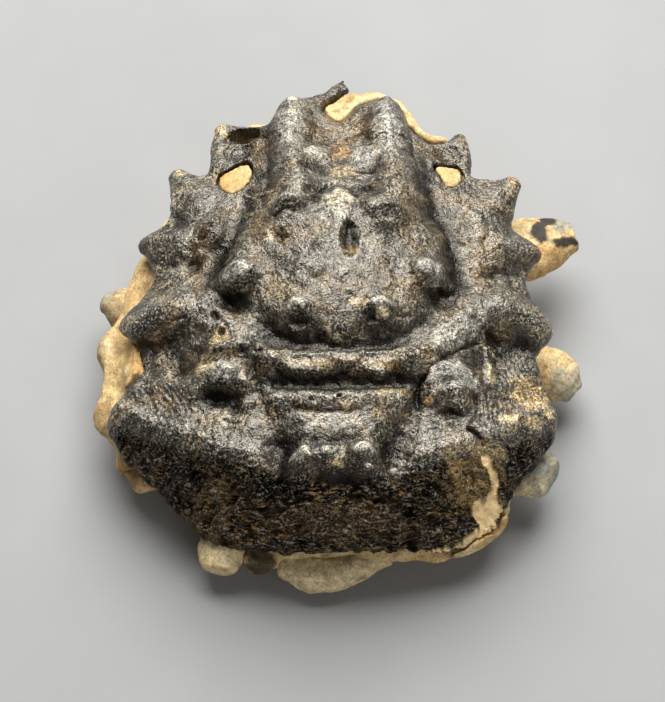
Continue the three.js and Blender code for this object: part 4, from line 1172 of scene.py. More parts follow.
def store_colour(piece, name, colours):
    opaque = np.hstack([colours, np.ones((len(colours), 1))])
    layer = piece.data.attributes.new(name, "FLOAT_COLOR", "POINT")
    layer.data.foreach_set("color", opaque.astype(np.float32).ravel())


def store_share(piece, name, values):
    layer = piece.data.attributes.new(name, "FLOAT", "POINT")
    layer.data.foreach_set("value", np.clip(values, 0, 1).astype(np.float32))


# ---------------------------------------------------------------- colours by place
class Paint:
    """Colours laid one over another on a piece's points."""

    def __init__(self, tones, base, count):
        self.tones = tones
        self.colour = np.tile(np.array(tones[base]), (count, 1))

    def lay(self, share, name):
        self.colour = mixed(self.colour, np.array(self.tones[name]), np.clip(share, 0, 1)[:, None])

    def shade(self, left):
        """Darken by the share of light that is left."""
        self.colour = self.colour * left[:, None]


def clouded(points, cast):
    """Soft clouds, 0 to 1."""
    return smoothstep(layered(points, cast["size"], cast["seed"]), cast["none"], cast["full"])


RAGGED_BY = 0.35
RAGGED_EDGE = (0.3, 0.62)


def ragged(share, points, edge):
    """A soft patch with a broken edge."""
    broken = RAGGED_BY * layered(points, edge["size"], edge["seed"], octaves=3)
    return smoothstep(share + broken, *RAGGED_EDGE)


# ---------------------------------------------------------------- what is seen on the carapace
TONES = {
    "dark": (0.022, 0.018, 0.013),
    # the next tone, grey, is a painted sheen, laid where the shell faces the light
    "grey": (0.115, 0.106, 0.084),
    "brown": (0.12, 0.078, 0.038),
    # the next tone is painted shade for the steep back and the hollows, over the back's own dark tone
    "umber_painted_shade": (0.012, 0.008, 0.005),
    "gold": (0.34, 0.23, 0.09),
    "tan": (0.46, 0.34, 0.17),
    "orange": (0.42, 0.22, 0.06),
    "bare": (0.98, 0.72, 0.38),
    # the next two are a painted sheen and a painted highlight
    "painted_sheen": (0.30, 0.285, 0.24),
    "painted_highlight": (0.50, 0.47, 0.38),
    "cream": (0.72, 0.60, 0.38),
    "olive": (0.09, 0.066, 0.026),
}
# Stains, painted highlights and painted shade on the carapace: middle, half widths, turn in degrees,
# strength, tone.
STAINS_AND_PAINTED_LIGHT = [
    ((-5.2, 20.6), (1.8, 4.4), 0, 0.5, "painted_sheen"),  # painted sheen on the horns, the ridge between them and the frontal pair
    ((5.4, 19.8), (1.7, 4.6), 0, 0.7, "painted_sheen"),
    ((-0.1, 8.4), (1.9, 2.6), 0, 0.6, "painted_sheen"),
    ((-2.3, 17.3), (1.3, 1.1), 0, 0.8, "painted_sheen"),
    ((2.8, 17.1), (1.4, 1.2), 0, 0.7, "painted_sheen"),
    ((-10.9, 0.9), (1.7, 1.4), 0, 0.7, "painted_sheen"),  # painted highlights on the crowns of the knobs
    ((9.8, 0.8), (1.7, 1.4), 0, 0.7, "painted_sheen"),
    ((-4.5, -3.8), (1.2, 0.7), 0, 0.7, "painted_highlight"),
    ((4.6, -3.8), (1.2, 0.7), 0, 0.7, "painted_highlight"),
    ((-3.9, -20.2), (1.2, 0.8), 0, 0.9, "painted_highlight"),
    ((-1.1, -19.7), (1.0, 0.6), 0, 0.6, "painted_highlight"),
    ((2.7, -19.8), (1.3, 0.9), 0, 0.9, "painted_highlight"),
    ((3.2, -21.5), (0.5, 0.35), 0, 0.8, "painted_highlight"),
    # painted sheen on the left protogastric knob, the branchial knobs and the right arch
    ((-5.4, 9.1), (1.2, 0.6), 0, 0.7, "painted_sheen"),
    ((-12.6, -10.2), (2.8, 1.3), -15, 0.8, "painted_sheen"),
    ((12.2, -10.6), (2.8, 1.8), 0, 0.8, "painted_sheen"),
    ((12.6, -6.0), (3.4, 1.8), 30, 0.45, "painted_sheen"),
    ((15.0, 7.6), (1.6, 3.0), 0, 0.4, "dark"),
    ((-4.9, -17.6), (1.1, 2.6), -20, 0.7, "dark"),  # painted shade beside, between and under the cardiac knobs
    ((4.6, -17.6), (1.1, 2.4), 20, 0.7, "dark"),
    ((0.9, -20.2), (0.5, 1.0), 0, 0.9, "umber_painted_shade"),
    ((-2.5, -20.6), (0.4, 0.9), 0, 0.9, "umber_painted_shade"),
    ((0.0, -22.6), (3.4, 1.3), 0, 0.95, "umber_painted_shade"),
    # painted shade under the rear of the bell
    ((0.0, -7.0), (6.4, 1.2), 0, 0.7, "umber_painted_shade"),
    # painted shade in the hollow above the cardiac knobs
    ((-0.6, -18.4), (3.6, 0.5), 0, 0.5, "dark"),
    ((0.2, 17.8), (1.3, 1.7), 0, 0.6, "orange"),
    # a painted highlight at the tip of the left horn
    ((-5.4, 25.0), (0.8, 0.5), 0, 0.9, "cream"),
    ((0.3, 14.4), (1.6, 1.4), 0, 0.4, "tan"),
    ((0.0, 20.8), (4.4, 3.0), 0, 0.6, "brown"),
    ((1.4, 2.9), (0.6, 1.0), 0, 0.75, "gold"),
    ((0.2, 9.0), (1.8, 1.8), 0, 0.35, "tan"),
    ((7.4, 10.4), (1.5, 4.8), 10, 0.6, "brown"),
    ((6.6, -1.6), (2.4, 2.4), 0, 0.5, "brown"),
    ((-7.4, 0.6), (0.9, 2.4), 0, 0.6, "brown"),
    ((-6.4, 5.0), (1.5, 1.1), 0, 0.4, "tan"),
    ((-8.6, 7.6), (1.2, 3.4), -10, 0.5, "brown"),
    ((-5.6, -2.0), (3.0, 1.4), 0, 0.5, "brown"),
    ((2.2, -3.6), (1.0, 0.9), 0, 0.55, "tan"),
    ((4.7, -4.9), (0.7, 0.45), 0, 0.85, "cream"),
    ((0, -9.9), (7.4, 0.9), 0, 0.5, "brown"),
    ((-2.6, -10.0), (2.4, 0.6), 0, 0.35, "gold"),
    ((4.4, -10.0), (2.2, 0.6), 0, 0.35, "gold"),
    ((5.5, -12.8), (2.6, 0.7), 0, 0.45, "gold"),
    # painted sheen on the cardiac region
    ((-0.4, -16.6), (3.4, 1.5), 0, 0.45, "painted_sheen"),
    ((-12.9, -6.2), (1.2, 1.1), 0, 0.7, "tan"),
    ((-14.2, -9.8), (1.3, 1.0), 0, 0.6, "tan"),
    ((-9.6, -10.6), (1.8, 1.2), 0, 0.4, "brown"),
    ((9.6, -13.7), (0.6, 0.5), 0, 0.45, "orange"),
    ((16.5, -9.6), (0.4, 1.5), 0, 0.6, "tan"),
    ((20.6, -10.8), (2.4, 2.0), 0, 0.7, "gold"),
    ((15.8, 5.4), (2.2, 3.6), 0, 0.75, "brown"),
    ((-15.6, 3.4), (2.4, 1.6), 0, 0.5, "brown"),
    ((18.2, -14.4), (1.3, 0.7), 15, 0.8, "tan"),
    ((16.2, -18.0), (2.2, 1.2), 0, 0.5, "tan"),
    ((14.4, -20.4), (3.4, 2.4), 0, 0.6, "gold"),
    ((21.2, -14.0), (1.3, 0.8), 15, 0.6, "tan"),
    ((22.9, -12.3), (0.7, 0.8), 0, 0.7, "tan"),
    ((10.6, 5.6), (1.2, 3.0), 10, 0.4, "olive"),
    ((-17.9, 16.4), (0.7, 0.7), 0, 0.5, "tan"),
    ((19.8, 15.9), (0.9, 0.6), 0, 0.6, "orange"),
    ((-0.3, -20.9), (0.8, 0.35), 0, 0.8, "gold"),
    ((23.8, -2.9), (0.3, 0.8), 0, 1.0, "tan"),
    ((-13.4, 22.4), (0.8, 1.2), 0, 0.7, "tan"),
    # painted shade in the dips between the eye sockets and the breaks
    ((-11.5, 18.9), (1.7, 1.5), 0, 1.0, "umber_painted_shade"),
    ((12.7, 18.9), (1.5, 1.3), 0, 1.0, "umber_painted_shade"),
    ((-23.4, -2.2), (1.5, 0.9), 0, 0.3, "tan"),
    ((-21.0, 9.2), (1.3, 0.8), 0, 0.3, "brown"),
    ((-14.0, -23.0), (3.6, 2.4), 20, 0.5, "brown"),
    ((14.4, -19.0), (3.8, 2.4), -20, 0.5, "brown"),
    ((0, -25), (9, 1.4), 0, 0.35, "brown"),
]
STAIN_EDGE = {"size": 1.1, "seed": 91}
STAIN_END = 0.02  # a stain's share where it is as good as gone
HEIGHT_ABOUT = 12  # steps of the fine plan over which a place is high or low
HIGH = (0.0, 0.35)  # millimetres above what is about it, from not high to wholly high
LOW = (0.05, 0.45)  # and below it
TOP_SIDE = (-0.1, 0.2)  # a normal's height, from the underside to the top side
PAINTED_SHEEN_CAST = {"strength": 0.75, "least": 0.35, "size": 2.6, "seed": 71, "none": -0.35, "full": 0.45}
# Painted sheen: grey lies where the shell faces up and forwards, towards the key light.
PAINTED_SHEEN_FACING = {"y": 0.45, "z": 0.9, "none": 0.45, "full": 1.0}
BROWN_CAST = {"strength": 0.7, "size": 3.4, "seed": 81, "none": 0.0, "full": 0.6}
DUST_CAST = {"size": 4.2, "seed": 101, "none": -0.35, "full": 0.5}
# Painted shade laid over the steep back, which faces away from the key light, on top of its own dark tone.
BACK_PAINTED_SHADE = 0.9
HOLLOW_SHADE = 0.22
# Shade under the crest, by the height lost behind it: where it starts and is whole, where it fades and ends.
CREST_SHADE = {"strength": 0.8, "in": (0.3, 1.0), "out": (2.0, 3.6)}
# The lacquer over the fossil is thin in the hollows and on steep faces towards the back.
LACQUER_LOSS = {"back": 0.75, "facing": (0.35, 0.85), "hollow": 0.5}
REAR_WEAR_AND_HIGHLIGHT_LOSS = 0.5
REAR_DUST_LOSS = 0.75


about_plan = Plan(lambda x, y: top_plan.at(x + 0 * y, y + 0 * x), FINE_STEP)
about_plan.values = blurred(about_plan.values, HEIGHT_ABOUT)


def shell_colour(flat, normals, rear, low, bare):
    """Painted sheen where the shell faces the light, brown casts, painted shade on the back, under the crest
    and in hollows, stains, painted highlights and bare stone.
    """
    x, y = flat[:, 0], flat[:, 1]
    paint = Paint(TONES, "dark", len(flat))
    # Painted sheen: grey where the shell faces up and towards the key light, in clouds.
    facing = normals[:, 1] * PAINTED_SHEEN_FACING["y"] + normals[:, 2] * PAINTED_SHEEN_FACING["z"]
    facing = smoothstep(facing, PAINTED_SHEEN_FACING["none"], PAINTED_SHEEN_FACING["full"])
    cloud = mixed(PAINTED_SHEEN_CAST["least"], 1, clouded(flat, PAINTED_SHEEN_CAST))
    paint.lay(PAINTED_SHEEN_CAST["strength"] * (1 - rear) * facing * cloud, "grey")
    paint.lay(BROWN_CAST["strength"] * clouded(flat, BROWN_CAST), "brown")
    # Painted shade on the steep back, over its own dark tone.
    paint.lay(BACK_PAINTED_SHADE * rear, "umber_painted_shade")
    lost = dome_height(x, y) - plain_height(x, y)
    under_crest = smoothstep(lost, *CREST_SHADE["in"]) * (1 - smoothstep(lost, *CREST_SHADE["out"]))
    paint.shade(1 - CREST_SHADE["strength"] * under_crest)
    for middle, half, turn, strength, name in STAINS_AND_PAINTED_LIGHT:
        share = patch(middle, half, turn, x, y)
        near = share > STAIN_END
        spread = np.zeros_like(share)
        spread[near] = ragged(share[near], flat[near], STAIN_EDGE)
        paint.lay(strength * spread, name)
    paint.shade(mixed(1, HOLLOW_SHADE, low))
    paint.lay(bare, "bare")
    return paint.colour


def shell_finish(piece):
    """Colour with its painted sheen, highlights and shade, wear and painted highlights on high places, dust,
    lacquer and bare stone on the carapace, stored with its points.
    """
    points, normals = places_of(piece)
    x, y = points[:, 0], points[:, 1]
    flat = flat_points(x, y)
    above = top_plan.at(x, y) - about_plan.at(x, y)
    on_top = smoothstep(normals[:, 2], *TOP_SIDE)
    high = smoothstep(above, *HIGH) * on_top
    low = smoothstep(-above, *LOW) * on_top
    rear = rear_share(x, y)
    bare = bare_plan.at(x, y) * on_top
    turned_back = smoothstep(-normals[:, 1], *LACQUER_LOSS["facing"])
    lacquer = (1 - LACQUER_LOSS["back"] * turned_back) * (1 - LACQUER_LOSS["hollow"] * low)
    dusty = (1 - low) * clouded(flat, DUST_CAST) * (1 - REAR_DUST_LOSS * rear)
    store_colour(piece, "tone", shell_colour(flat, normals, rear, low, bare))
    # High places get pale specks in the material: wear, and a painted highlight.
    store_share(piece, "wear_and_highlight", high * (1 - REAR_WEAR_AND_HIGHLIGHT_LOSS * rear))
    store_share(piece, "rear", rear)
    store_share(piece, "bare", bare)
    store_share(piece, "lacquer", lacquer)
    store_share(piece, "dusty", dusty)


# ---------------------------------------------------------------- what is seen on the stone and the legs
STONE_TONES = {
    "cream": (0.60, 0.43, 0.20),
    "pale": (0.66, 0.53, 0.30),
    "warm": (0.52, 0.31, 0.11),
    "rust": (0.26, 0.13, 0.045),
    "dark": (0.035, 0.026, 0.018),
    "grey": (0.25, 0.26, 0.21),
}
STONE_CASTS = [
    ("pale", 0.8, {"size": 4.5, "seed": 111, "none": -0.1, "full": 0.5}),
    ("warm", 0.55, {"size": 3.0, "seed": 121, "none": 0.1, "full": 0.6}),
    ("rust", 0.6, {"size": 2.0, "seed": 131, "none": 0.32, "full": 0.6}),
]
STONE_STAIN_EDGE = {"size": 1.3, "seed": 141}
# A dark band across the claw, then its tip's dark lower edge.
CLAW_ACROSS = [(23.8, 13.4, 9), (23.3, 12.6, 9), (22.8, 11.9, 9), (22.2, 11.2, 9)]
CLAW_EDGE = [(23.0, 10.8, 9), (23.9, 10.6, 8), (24.8, 10.5, 8), (25.7, 10.6, 8), (26.7, 10.8, 8)]
# Stains on the stone and the leg pieces: middle, reach, strength, tone.
STONE_STAINS = [
    ((-25.6, 4.4, 6), (2.6, 2.8, 3), 0.9, "grey"),
    ((25.4, -5.2, 5), (2.6, 2.6, 3), 0.7, "grey"),
    ((25.2, 12.8, 9), (2.0, 1.5, 4), 0.8, "grey"),
    ((23.6, 9.2, 7), (2.8, 1.6, 4), 0.8, "warm"),
    *[(at, (1.1, 0.9, 4), 1.0, "dark") for at in CLAW_ACROSS],
    (CLAW_EDGE[0], (0.9, 0.7, 4), 1.0, "dark"),
    *[(at, (0.9, 0.6, 4), 1.0, "dark") for at in CLAW_EDGE[1:]],
    ((-12.0, 15.0, 15), (2.2, 2.2, 3), 0.7, "warm"),
    ((-8.6, -26.4, 4), (1.8, 2.4, 3), 0.9, "dark"),
    ((-22.2, -6.2, 12), (1.2, 3.6, 2.5), 0.8, "warm"),
    ((-24.6, 2.0, 9), (3.0, 5.0, 4), 0.5, "warm"),
    ((-25.6, -10.6, 8), (1.6, 2.0, 2.5), 0.5, "rust"),
    ((-22.6, -16.4, 6), (2.4, 2.0, 2.5), 0.7, "rust"),
    ((16.6, -22.0, 8), (2.6, 3.4, 3), 0.6, "warm"),
    ((-20.4, 4.6, 12), (1.2, 2.4, 2), 0.5, "rust"),
]


def stone_finish(piece, base):
    """Colour on the stone or a leg piece, stored with its points."""
    points = places_of(piece)[0]
    paint = Paint(STONE_TONES, base, len(points))
    for name, strength, cast in STONE_CASTS:
        paint.lay(strength * clouded(points, cast), name)
    for middle, reach, strength, name in STONE_STAINS:
        away = np.sqrt((((points - middle) / reach) ** 2).sum(axis=1))
        paint.lay(strength * ragged(np.exp(-(away**2)), points, STONE_STAIN_EDGE), name)
    store_colour(piece, "tone", paint.colour)


# ---------------------------------------------------------------- pieces
STONE_ROUGHNESS = [(5.5, 0.5, 151), (2.1, 0.16, 161), (0.8, 0.07, 171)]  # lump size, height, seed
LIMB_ROUGHNESS = [(2.6, 0.22, 181), (0.9, 0.06, 191)]
# The stone is smooth near the carapace's edge, except well below it, and near the foot.
STONE_SMOOTH = {"edge": (0.1, 1.0), "below_seat": 2.5, "foot": (0.05, 1.2)}


def roughened(points, faces, layers, weight):
    """Points moved along their normals by uneven lumps."""
    normals = quad_normals(points, faces)
    push = sum(rise * layered(points, size, seed, octaves=3) for size, rise, seed in layers)
    return points + normals * (push * weight)[:, None]


def make_shell():
    grid = Grid(SHELL_LOW, SHELL_HIGH, SHELL_CELL)
    points, faces = surface_of(shell_field(grid), grid)
    return piece_from("carapace_detail", settled_on_top(points), faces)


def make_stone():
    grid = Grid(STONE_LOW, STONE_HIGH, STONE_CELL)
    points, faces = surface_of(stone_field(grid), grid)
    x, y, z = points.T
    clear = smoothstep(edge_plan.at(x, y), *STONE_SMOOTH["edge"])
    low_down = z < seat_plan.at(x, y) - STONE_SMOOTH["below_seat"]
    weight = np.where(low_down, 1.0, clear) * smoothstep(z, *STONE_SMOOTH["foot"])
    points = roughened(points, faces, STONE_ROUGHNESS, weight)
    points[:, 2] = np.maximum(points[:, 2], 0)
    return piece_from("matrix_detail", points, faces)


def make_limb(name):
    grid = Grid(*limb_box(name), LIMB_CELL)
    points, faces = surface_of(limb_field(name, *grid.whole()), grid)
    points = roughened(points, faces, LIMB_ROUGHNESS, 1.0)
    return piece_from(name + "_detail", points, faces)


# ================================================================ materials
# Patterns: a noise's lump size in millimetres, detail and roughness, then the ranges it is eased from and to.
SHELL_PATTERNS = {
    "mottles": ((1.1, 5.0, 0.65), (0.32, 0.68, 0.5, 1.6)),
    "fine grain": ((0.14, 1.0), (0.36, 0.64, 0.3, 1.9)),
    "calm places": ((2.6, 3.0), (0.44, 0.58, 0.0, 0.7)),
    "crosswise places": ((2.4, 2.0), (0.42, 0.58)),
    "dusty places": ((1.8, 4.0, 0.6), (0.4, 0.6)),
    "rusty places": ((3.4, 3.0), (0.44, 0.6, 0.05, 1.0)),
    "glinting places": ((1.5, 3.0), (0.42, 0.58)),
    "worn specks": ((0.26, 2.0, 0.7), (0.55, 0.64)),
    "pores": ((0.26, 2.0, 0.6), (0.37, 0.46, 0.1, 1.0)),
    "roughness": ((0.6, 4.0, 0.6), (0.3, 0.7, 0.14, 0.36)),
}
STONE_PATTERNS = {
    "mottles": ((0.9, 5.0, 0.7), (0.3, 0.7, 0.72, 1.25)),
    "flecks": ((0.45, 3.0, 0.7), (0.64, 0.72)),
}
DUST = (0.44, 0.36, 0.22, 1)
WEAR_AND_HIGHLIGHT_SPECK = (0.5, 0.48, 0.41, 1)
RUST = (0.30, 0.18, 0.07, 1)
GLINT = (0.48, 0.42, 0.31, 1)
FLECK = (0.16, 0.09, 0.035, 1)
LACQUER_TINT = (1.0, 0.93, 0.80, 1)
# How far each covers what is under it.
DUST_COVER = 0.8
WEAR_AND_HIGHLIGHT_COVER = 0.7
GLINT_COVER = 0.65
FLECK_COVER = 0.7
PORE_SHADE = 0.85
BACK_CALM = 0.6
BARE_MOTTLES = (0.5, 1.6, 0.9, 1.35)  # the shell's mottles, eased into gentler ones on bare stone
ADDED_ROUGHNESS = {"bare": 0.5, "dust": 0.35}
LACQUER_GLOSS = (0.95, 0.1)  # on the dome, and on the back
STONE_SPECULAR = 0.4
STONE_GLOSS_SPREAD = 0.12
FLOOR_TONES = ((0.29, 0.29, 0.285, 1), (0.315, 0.315, 0.31, 1))


class Surface:
    """A Principled material whose patterns are sized in millimetres on the object."""

    def __init__(self, name):
        self.material = bpy.data.materials.new(name)
        self.material.use_nodes = True
        self.tree = self.material.node_tree
        self.shader = self.tree.nodes["Principled BSDF"]
        self.places = self.node("ShaderNodeTexCoord").outputs["Object"]

    def node(self, kind, inputs=(), **settings):
        made = self.tree.nodes.new(kind)
        for key, value in settings.items():
            setattr(made, key, value)
        for key, value in dict(inputs).items():
            self.feed(made.inputs[key], value)
        return made

    def feed(self, socket, value):
        if isinstance(value, bpy.types.NodeSocket):
            self.tree.links.new(value, socket)
        else:
            socket.default_value = value

    def stored(self, name):
        """A number stored with the piece's points."""
        return self.node("ShaderNodeAttribute", attribute_name=name).outputs["Fac"]

    def stored_colour(self, name):
        return self.node("ShaderNodeAttribute", attribute_name=name).outputs["Color"]

    def vector(self, operation, inputs):
        return self.node("ShaderNodeVectorMath", inputs, operation=operation).outputs[0]

    def noise(self, size, detail=3.0, roughness=0.55, stretch=(1, 1, 1), places=None):
        """Noise with lumps about `size` millimetres across."""
        scaled = self.vector("MULTIPLY", {0: places or self.places, 1: stretch})
        values = {"Vector": scaled, "Scale": 1 / (size * MM), "Detail": detail, "Roughness": roughness}
        return self.node("ShaderNodeTexNoise", values).outputs["Fac"]

    def flowing(self, size, reach):
        """Places pushed about by broad noise, so that patterns laid on them curve and swirl."""
        values = {"Vector": self.places, "Scale": 1 / (size * MM), "Detail": 2.0}
        push = self.node("ShaderNodeTexNoise", values).outputs["Color"]
        centred = self.vector("SUBTRACT", {0: push, 1: (0.5, 0.5, 0.5)})
        moved = self.vector("SCALE", {0: centred, "Scale": reach * MM})
        return self.vector("ADD", {0: self.places, 1: moved})

    def grey(self, value):
        return self.node("ShaderNodeCombineColor", {0: value, 1: value, 2: value}).outputs[0]

    def maths(self, operation, a, b):
        return self.node("ShaderNodeMath", {0: a, 1: b}, operation=operation).outputs[0]

    def total(self, first, *others):
        """A sum held between 0 and 1."""
        for other in others:
            made = self.node("ShaderNodeMath", {0: first, 1: other}, operation="ADD", use_clamp=True)
            first = made.outputs[0]
        return first

    def product(self, first, *others):
        for other in others:
            first = self.maths("MULTIPLY", first, other)
        return first

    def between(self, share, a, b):
        """A number part of the way from a to b."""
        return self.node("ShaderNodeMix", {0: share, 2: a, 3: b}).outputs[0]

    def ranged(self, value, low, high, out_low=0.0, out_high=1.0):
        """A number eased from the range low to high into another, 0 to 1 unless that is given."""
        values = {"Value": value, "From Min": low, "From Max": high, "To Min": out_low, "To Max": out_high}
        return self.node("ShaderNodeMapRange", values, interpolation_type="SMOOTHSTEP").outputs[0]

    def blended(self, share, a, b, kind="MIX"):
        values = {0: share, 6: a, 7: b}
        return self.node("ShaderNodeMix", values, data_type="RGBA", blend_type=kind).outputs[2]

    def shaded(self, colour, shade, share=1.0):
        """A colour made darker or lighter by a number."""
        return self.blended(share, colour, self.grey(shade), "MULTIPLY")

    def pattern(self, look):
        """A number from a row of the patterns above."""
        lumps, eased = look
        return self.ranged(self.noise(*lumps), *eased)

    def bumped(self, layers):
        """Normals from (height, distance in millimetres, strength) layers, laid one on another."""
        normal = None
        for height, distance, strength in layers:
            values = {"Height": height, "Distance": distance * MM, "Strength": strength}
            if normal is not None:
                values["Normal"] = normal
            normal = self.node("ShaderNodeBump", values).outputs[0]
        self.feed(self.shader.inputs["Normal"], normal)


def shell_fibres(s, rear):
    """Fine fibres that run lengthwise here and crosswise there, and the long strands of the back."""
    flow = s.flowing(3.4, 4.0)
    lengthwise = s.noise(0.27, 2.0, 0.6, stretch=(1.0, 0.4, 0.6), places=flow)
    crosswise = s.noise(0.27, 2.0, 0.6, stretch=(0.4, 1.0, 0.6), places=flow)
    drift = s.flowing(5.0, 3.0)
    strands = s.noise(0.28, 3.0, 0.65, stretch=(0.22, 0.8, 0.8), places=drift)
    turned = s.pattern(SHELL_PATTERNS["crosswise places"])
    return s.between(rear, s.between(turned, lengthwise, crosswise), strands), strands, drift


def shell_shade(s, rear, mottle, fibres, grit):
    """Mottles, streaks and grain, which is calm in places and on the back."""
    streaks = s.ranged(fibres, 0.38, 0.6, 0.45, 1.6)
    specked = s.ranged(grit, 0.38, 0.62, 0.6, 1.4)
    fine = s.pattern(SHELL_PATTERNS["fine grain"])
    calm = s.maths("MAXIMUM", s.pattern(SHELL_PATTERNS["calm places"]), s.product(rear, BACK_CALM))
    return s.product(mottle, streaks, s.between(calm, s.product(specked, fine), 1.0))


def shell_dust(s, fibres, grit):
    """Pale dust caught between fibres and grains, in patches."""
    caught = s.ranged(s.product(fibres, s.product(grit, 2.0)), 0.5, 0.62)
    return s.product(caught, s.stored("dusty"), s.pattern(SHELL_PATTERNS["dusty places"]))


def shell_material():
    """Dark fossil under clear lacquer, dusty on the dome, streaked with rust on the back, bare in a strip."""
    s = Surface("fossil_shell")
    tone = s.stored_colour("tone")
    rear, bare = s.stored("rear"), s.stored("bare")
    fibres, strands, drift = shell_fibres(s, rear)
    grit = s.noise(0.3, 2.0, 0.6)
    mottle = s.pattern(SHELL_PATTERNS["mottles"])
    dust = shell_dust(s, fibres, grit)

    colour = s.shaded(tone, shell_shade(s, rear, mottle, fibres, grit))
    colour = s.blended(s.product(dust, DUST_COVER), colour, DUST)
    # Pale specks on high places: wear, and a painted highlight.
    specks = s.pattern(SHELL_PATTERNS["worn specks"])
    colour = s.blended(s.product(specks, s.stored("wear_and_highlight"), WEAR_AND_HIGHLIGHT_COVER), colour, WEAR_AND_HIGHLIGHT_SPECK)
    rust = s.ranged(s.noise(0.42, 4.0, 0.7, stretch=(0.3, 1.0, 1.0), places=drift), 0.53, 0.62)
    colour = s.blended(s.product(rust, rear, s.pattern(SHELL_PATTERNS["rusty places"])), colour, RUST)
    glints = s.product(s.ranged(strands, 0.55, 0.64), s.pattern(SHELL_PATTERNS["glinting places"]))
    colour = s.blended(s.product(glints, rear, GLINT_COVER), colour, GLINT)
    colour = s.shaded(colour, s.pattern(SHELL_PATTERNS["pores"]), PORE_SHADE)
    colour = s.blended(bare, colour, s.shaded(tone, s.ranged(mottle, *BARE_MOTTLES)))
    s.feed(s.shader.inputs["Base Color"], colour)

    added = (s.product(bare, ADDED_ROUGHNESS["bare"]), s.product(dust, ADDED_ROUGHNESS["dust"]))
    s.feed(s.shader.inputs["Roughness"], s.total(s.pattern(SHELL_PATTERNS["roughness"]), *added))
    specular = s.product(s.ranged(rear, 0.0, 1.0, *LACQUER_GLOSS), s.stored("lacquer"))
    s.feed(s.shader.inputs["Specular IOR Level"], specular)
    s.shader.inputs["Specular Tint"].default_value = LACQUER_TINT
    s.bumped([(s.noise(1.0, 4.0, 0.6), 0.24, 0.9), (fibres, 0.18, 0.9), (grit, 0.1, 0.9)])
    return s.material


def stone_material(name, roughness, grain):
    """Matt, mottled stone with grains of `grain` millimetres and a few dark flecks."""
    s = Surface(name)
    mottle = s.pattern(STONE_PATTERNS["mottles"])
    speck = s.ranged(s.noise(grain, 2.0, 0.7), 0.34, 0.6, 0.72, 1.14)
    colour = s.shaded(s.stored_colour("tone"), s.product(mottle, speck))
    flecks = s.product(s.pattern(STONE_PATTERNS["flecks"]), FLECK_COVER)
    s.feed(s.shader.inputs["Base Color"], s.blended(flecks, colour, FLECK))
    uneven = s.ranged(s.noise(0.6, 3.0), 0.3, 0.7, roughness - STONE_GLOSS_SPREAD, roughness)
    s.feed(s.shader.inputs["Roughness"], uneven)
    s.shader.inputs["Specular IOR Level"].default_value = STONE_SPECULAR
    s.bumped([(s.noise(1.3, 5.0, 0.6), 0.16, 0.6), (s.noise(grain, 2.0, 0.7), 0.05, 0.7)])
    return s.material


def floor_material():
    s = Surface("pale_floor")
    s.feed(s.shader.inputs["Base Color"], s.blended(s.noise(30, 2.0), *FLOOR_TONES))
    s.feed(s.shader.inputs["Roughness"], s.ranged(s.noise(12, 2.0), 0.3, 0.7, 0.75, 0.85))
    return s.material


# ================================================================ the set: floor, light and camera
LOOK_AT = (-0.97, -4.96, 1.12)  # from the middle of the CAD box
VIEW = {"elevation": 64.0, "distance": 320.0, "lens": 149.2}
KEY = {"turn": 2.0, "elevation": 57.0, "distance": 420.0, "size": 370.0, "power": 4.6}
FILL = {"turn": 152.0, "elevation": 30.0, "distance": 600.0, "size": 400.0, "power": 0.9}
AMBIENT = 0.08
FLOOR_SIZE = 4000.0
CLIP_START = 0.01  # metres
# Stony materials: roughness, and grain size in millimetres.
STONE_LOOKS = {"sandstone": (0.95, 0.22), "leg_fossil": (0.8, 0.3), "leg_calcite": (0.55, 0.4)}
# Which material each leg piece has, and its base tone. The others are plain fossil.
LIMB_LOOKS = {
    "leg_stub_right_rear": ("leg_calcite", "grey"),
    "leg_knuckle_rear_left": ("leg_fossil", "pale"),
    "leg_stub_rear_middle": ("leg_fossil", "pale"),
}
PLAIN_LIMB = ("leg_fossil", "cream")


def toward(turn, elevation):
    """A direction: turn in degrees from +Y towards +X, then up."""
    turn, elevation = math.radians(turn), math.radians(elevation)
    flat = math.cos(elevation)
    return Vector((flat * math.sin(turn), flat * math.cos(turn), math.sin(elevation)))


def aim(thing, centre, direction, distance):
    thing.location = centre + direction * distance * MM
    thing.rotation_euler = direction.to_track_quat("Z", "Y").to_euler()


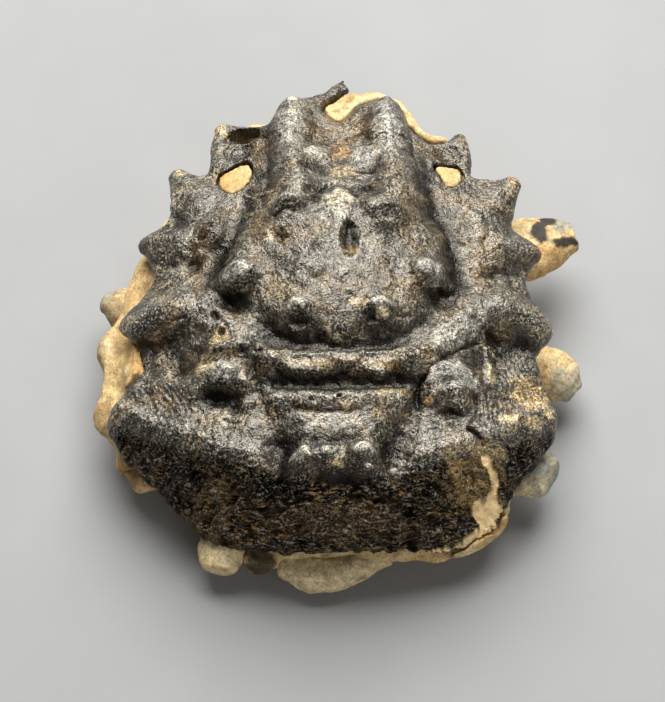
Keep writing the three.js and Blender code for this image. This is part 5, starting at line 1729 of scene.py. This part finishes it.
def add_light(name, centre, settings):
    lamp = bpy.data.lights.new(name, "AREA")
    lamp.size = settings["size"] * MM
    lamp.energy = settings["power"]
    thing = bpy.data.objects.new(name, lamp)
    bpy.context.scene.collection.objects.link(thing)
    aim(thing, centre, toward(settings["turn"], settings["elevation"]), settings["distance"])


def add_camera(centre):
    camera = bpy.data.cameras.new("camera")
    camera.lens = VIEW["lens"]
    camera.clip_start = CLIP_START
    thing = bpy.data.objects.new("camera", camera)
    bpy.context.scene.collection.objects.link(thing)
    aim(thing, centre, toward(180.0, VIEW["elevation"]), VIEW["distance"])
    bpy.context.scene.camera = thing


def add_floor():
    mesh = bpy.data.meshes.new("floor")
    half = FLOOR_SIZE * MM / 2
    corners = [(-half, -half, 0), (half, -half, 0), (half, half, 0), (-half, half, 0)]
    mesh.from_pydata(corners, [], [(0, 1, 2, 3)])
    floor = bpy.data.objects.new("floor", mesh)
    floor.data.materials.append(floor_material())
    bpy.context.scene.collection.objects.link(floor)


def add_world():
    world = bpy.data.worlds.new("studio")
    world.use_nodes = True
    background = world.node_tree.nodes["Background"]
    background.inputs["Color"].default_value = (1, 1, 1, 1)
    background.inputs["Strength"].default_value = AMBIENT
    bpy.context.scene.world = world


def place(piece, node, slot, material):
    """A detailed piece takes its CAD node's place."""
    piece.data.materials.append(material)
    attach(piece, "root")
    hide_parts(node)


def main():
    shell = make_shell()
    shell_finish(shell)
    place(shell, "carapace", "shell", shell_material())
    materials = {name: stone_material(name, *look) for name, look in STONE_LOOKS.items()}
    stone = make_stone()
    stone_finish(stone, "cream")
    place(stone, "matrix", "sandstone", materials["sandstone"])
    for name in LIMBS:
        limb = make_limb(name)
        slot, base = LIMB_LOOKS.get(name, PLAIN_LIMB)
        stone_finish(limb, base)
        place(limb, name, slot, materials[slot])

    low, high = (Vector(corner) for corner in CAD_BOX)
    centre = (low + high) / 2 + Vector(LOOK_AT) * MM
    add_floor()
    add_world()
    add_light("key", centre, KEY)
    add_light("fill", centre, FILL)
    add_camera(centre)
    bpy.context.scene.view_settings.view_transform = "Standard"


main()
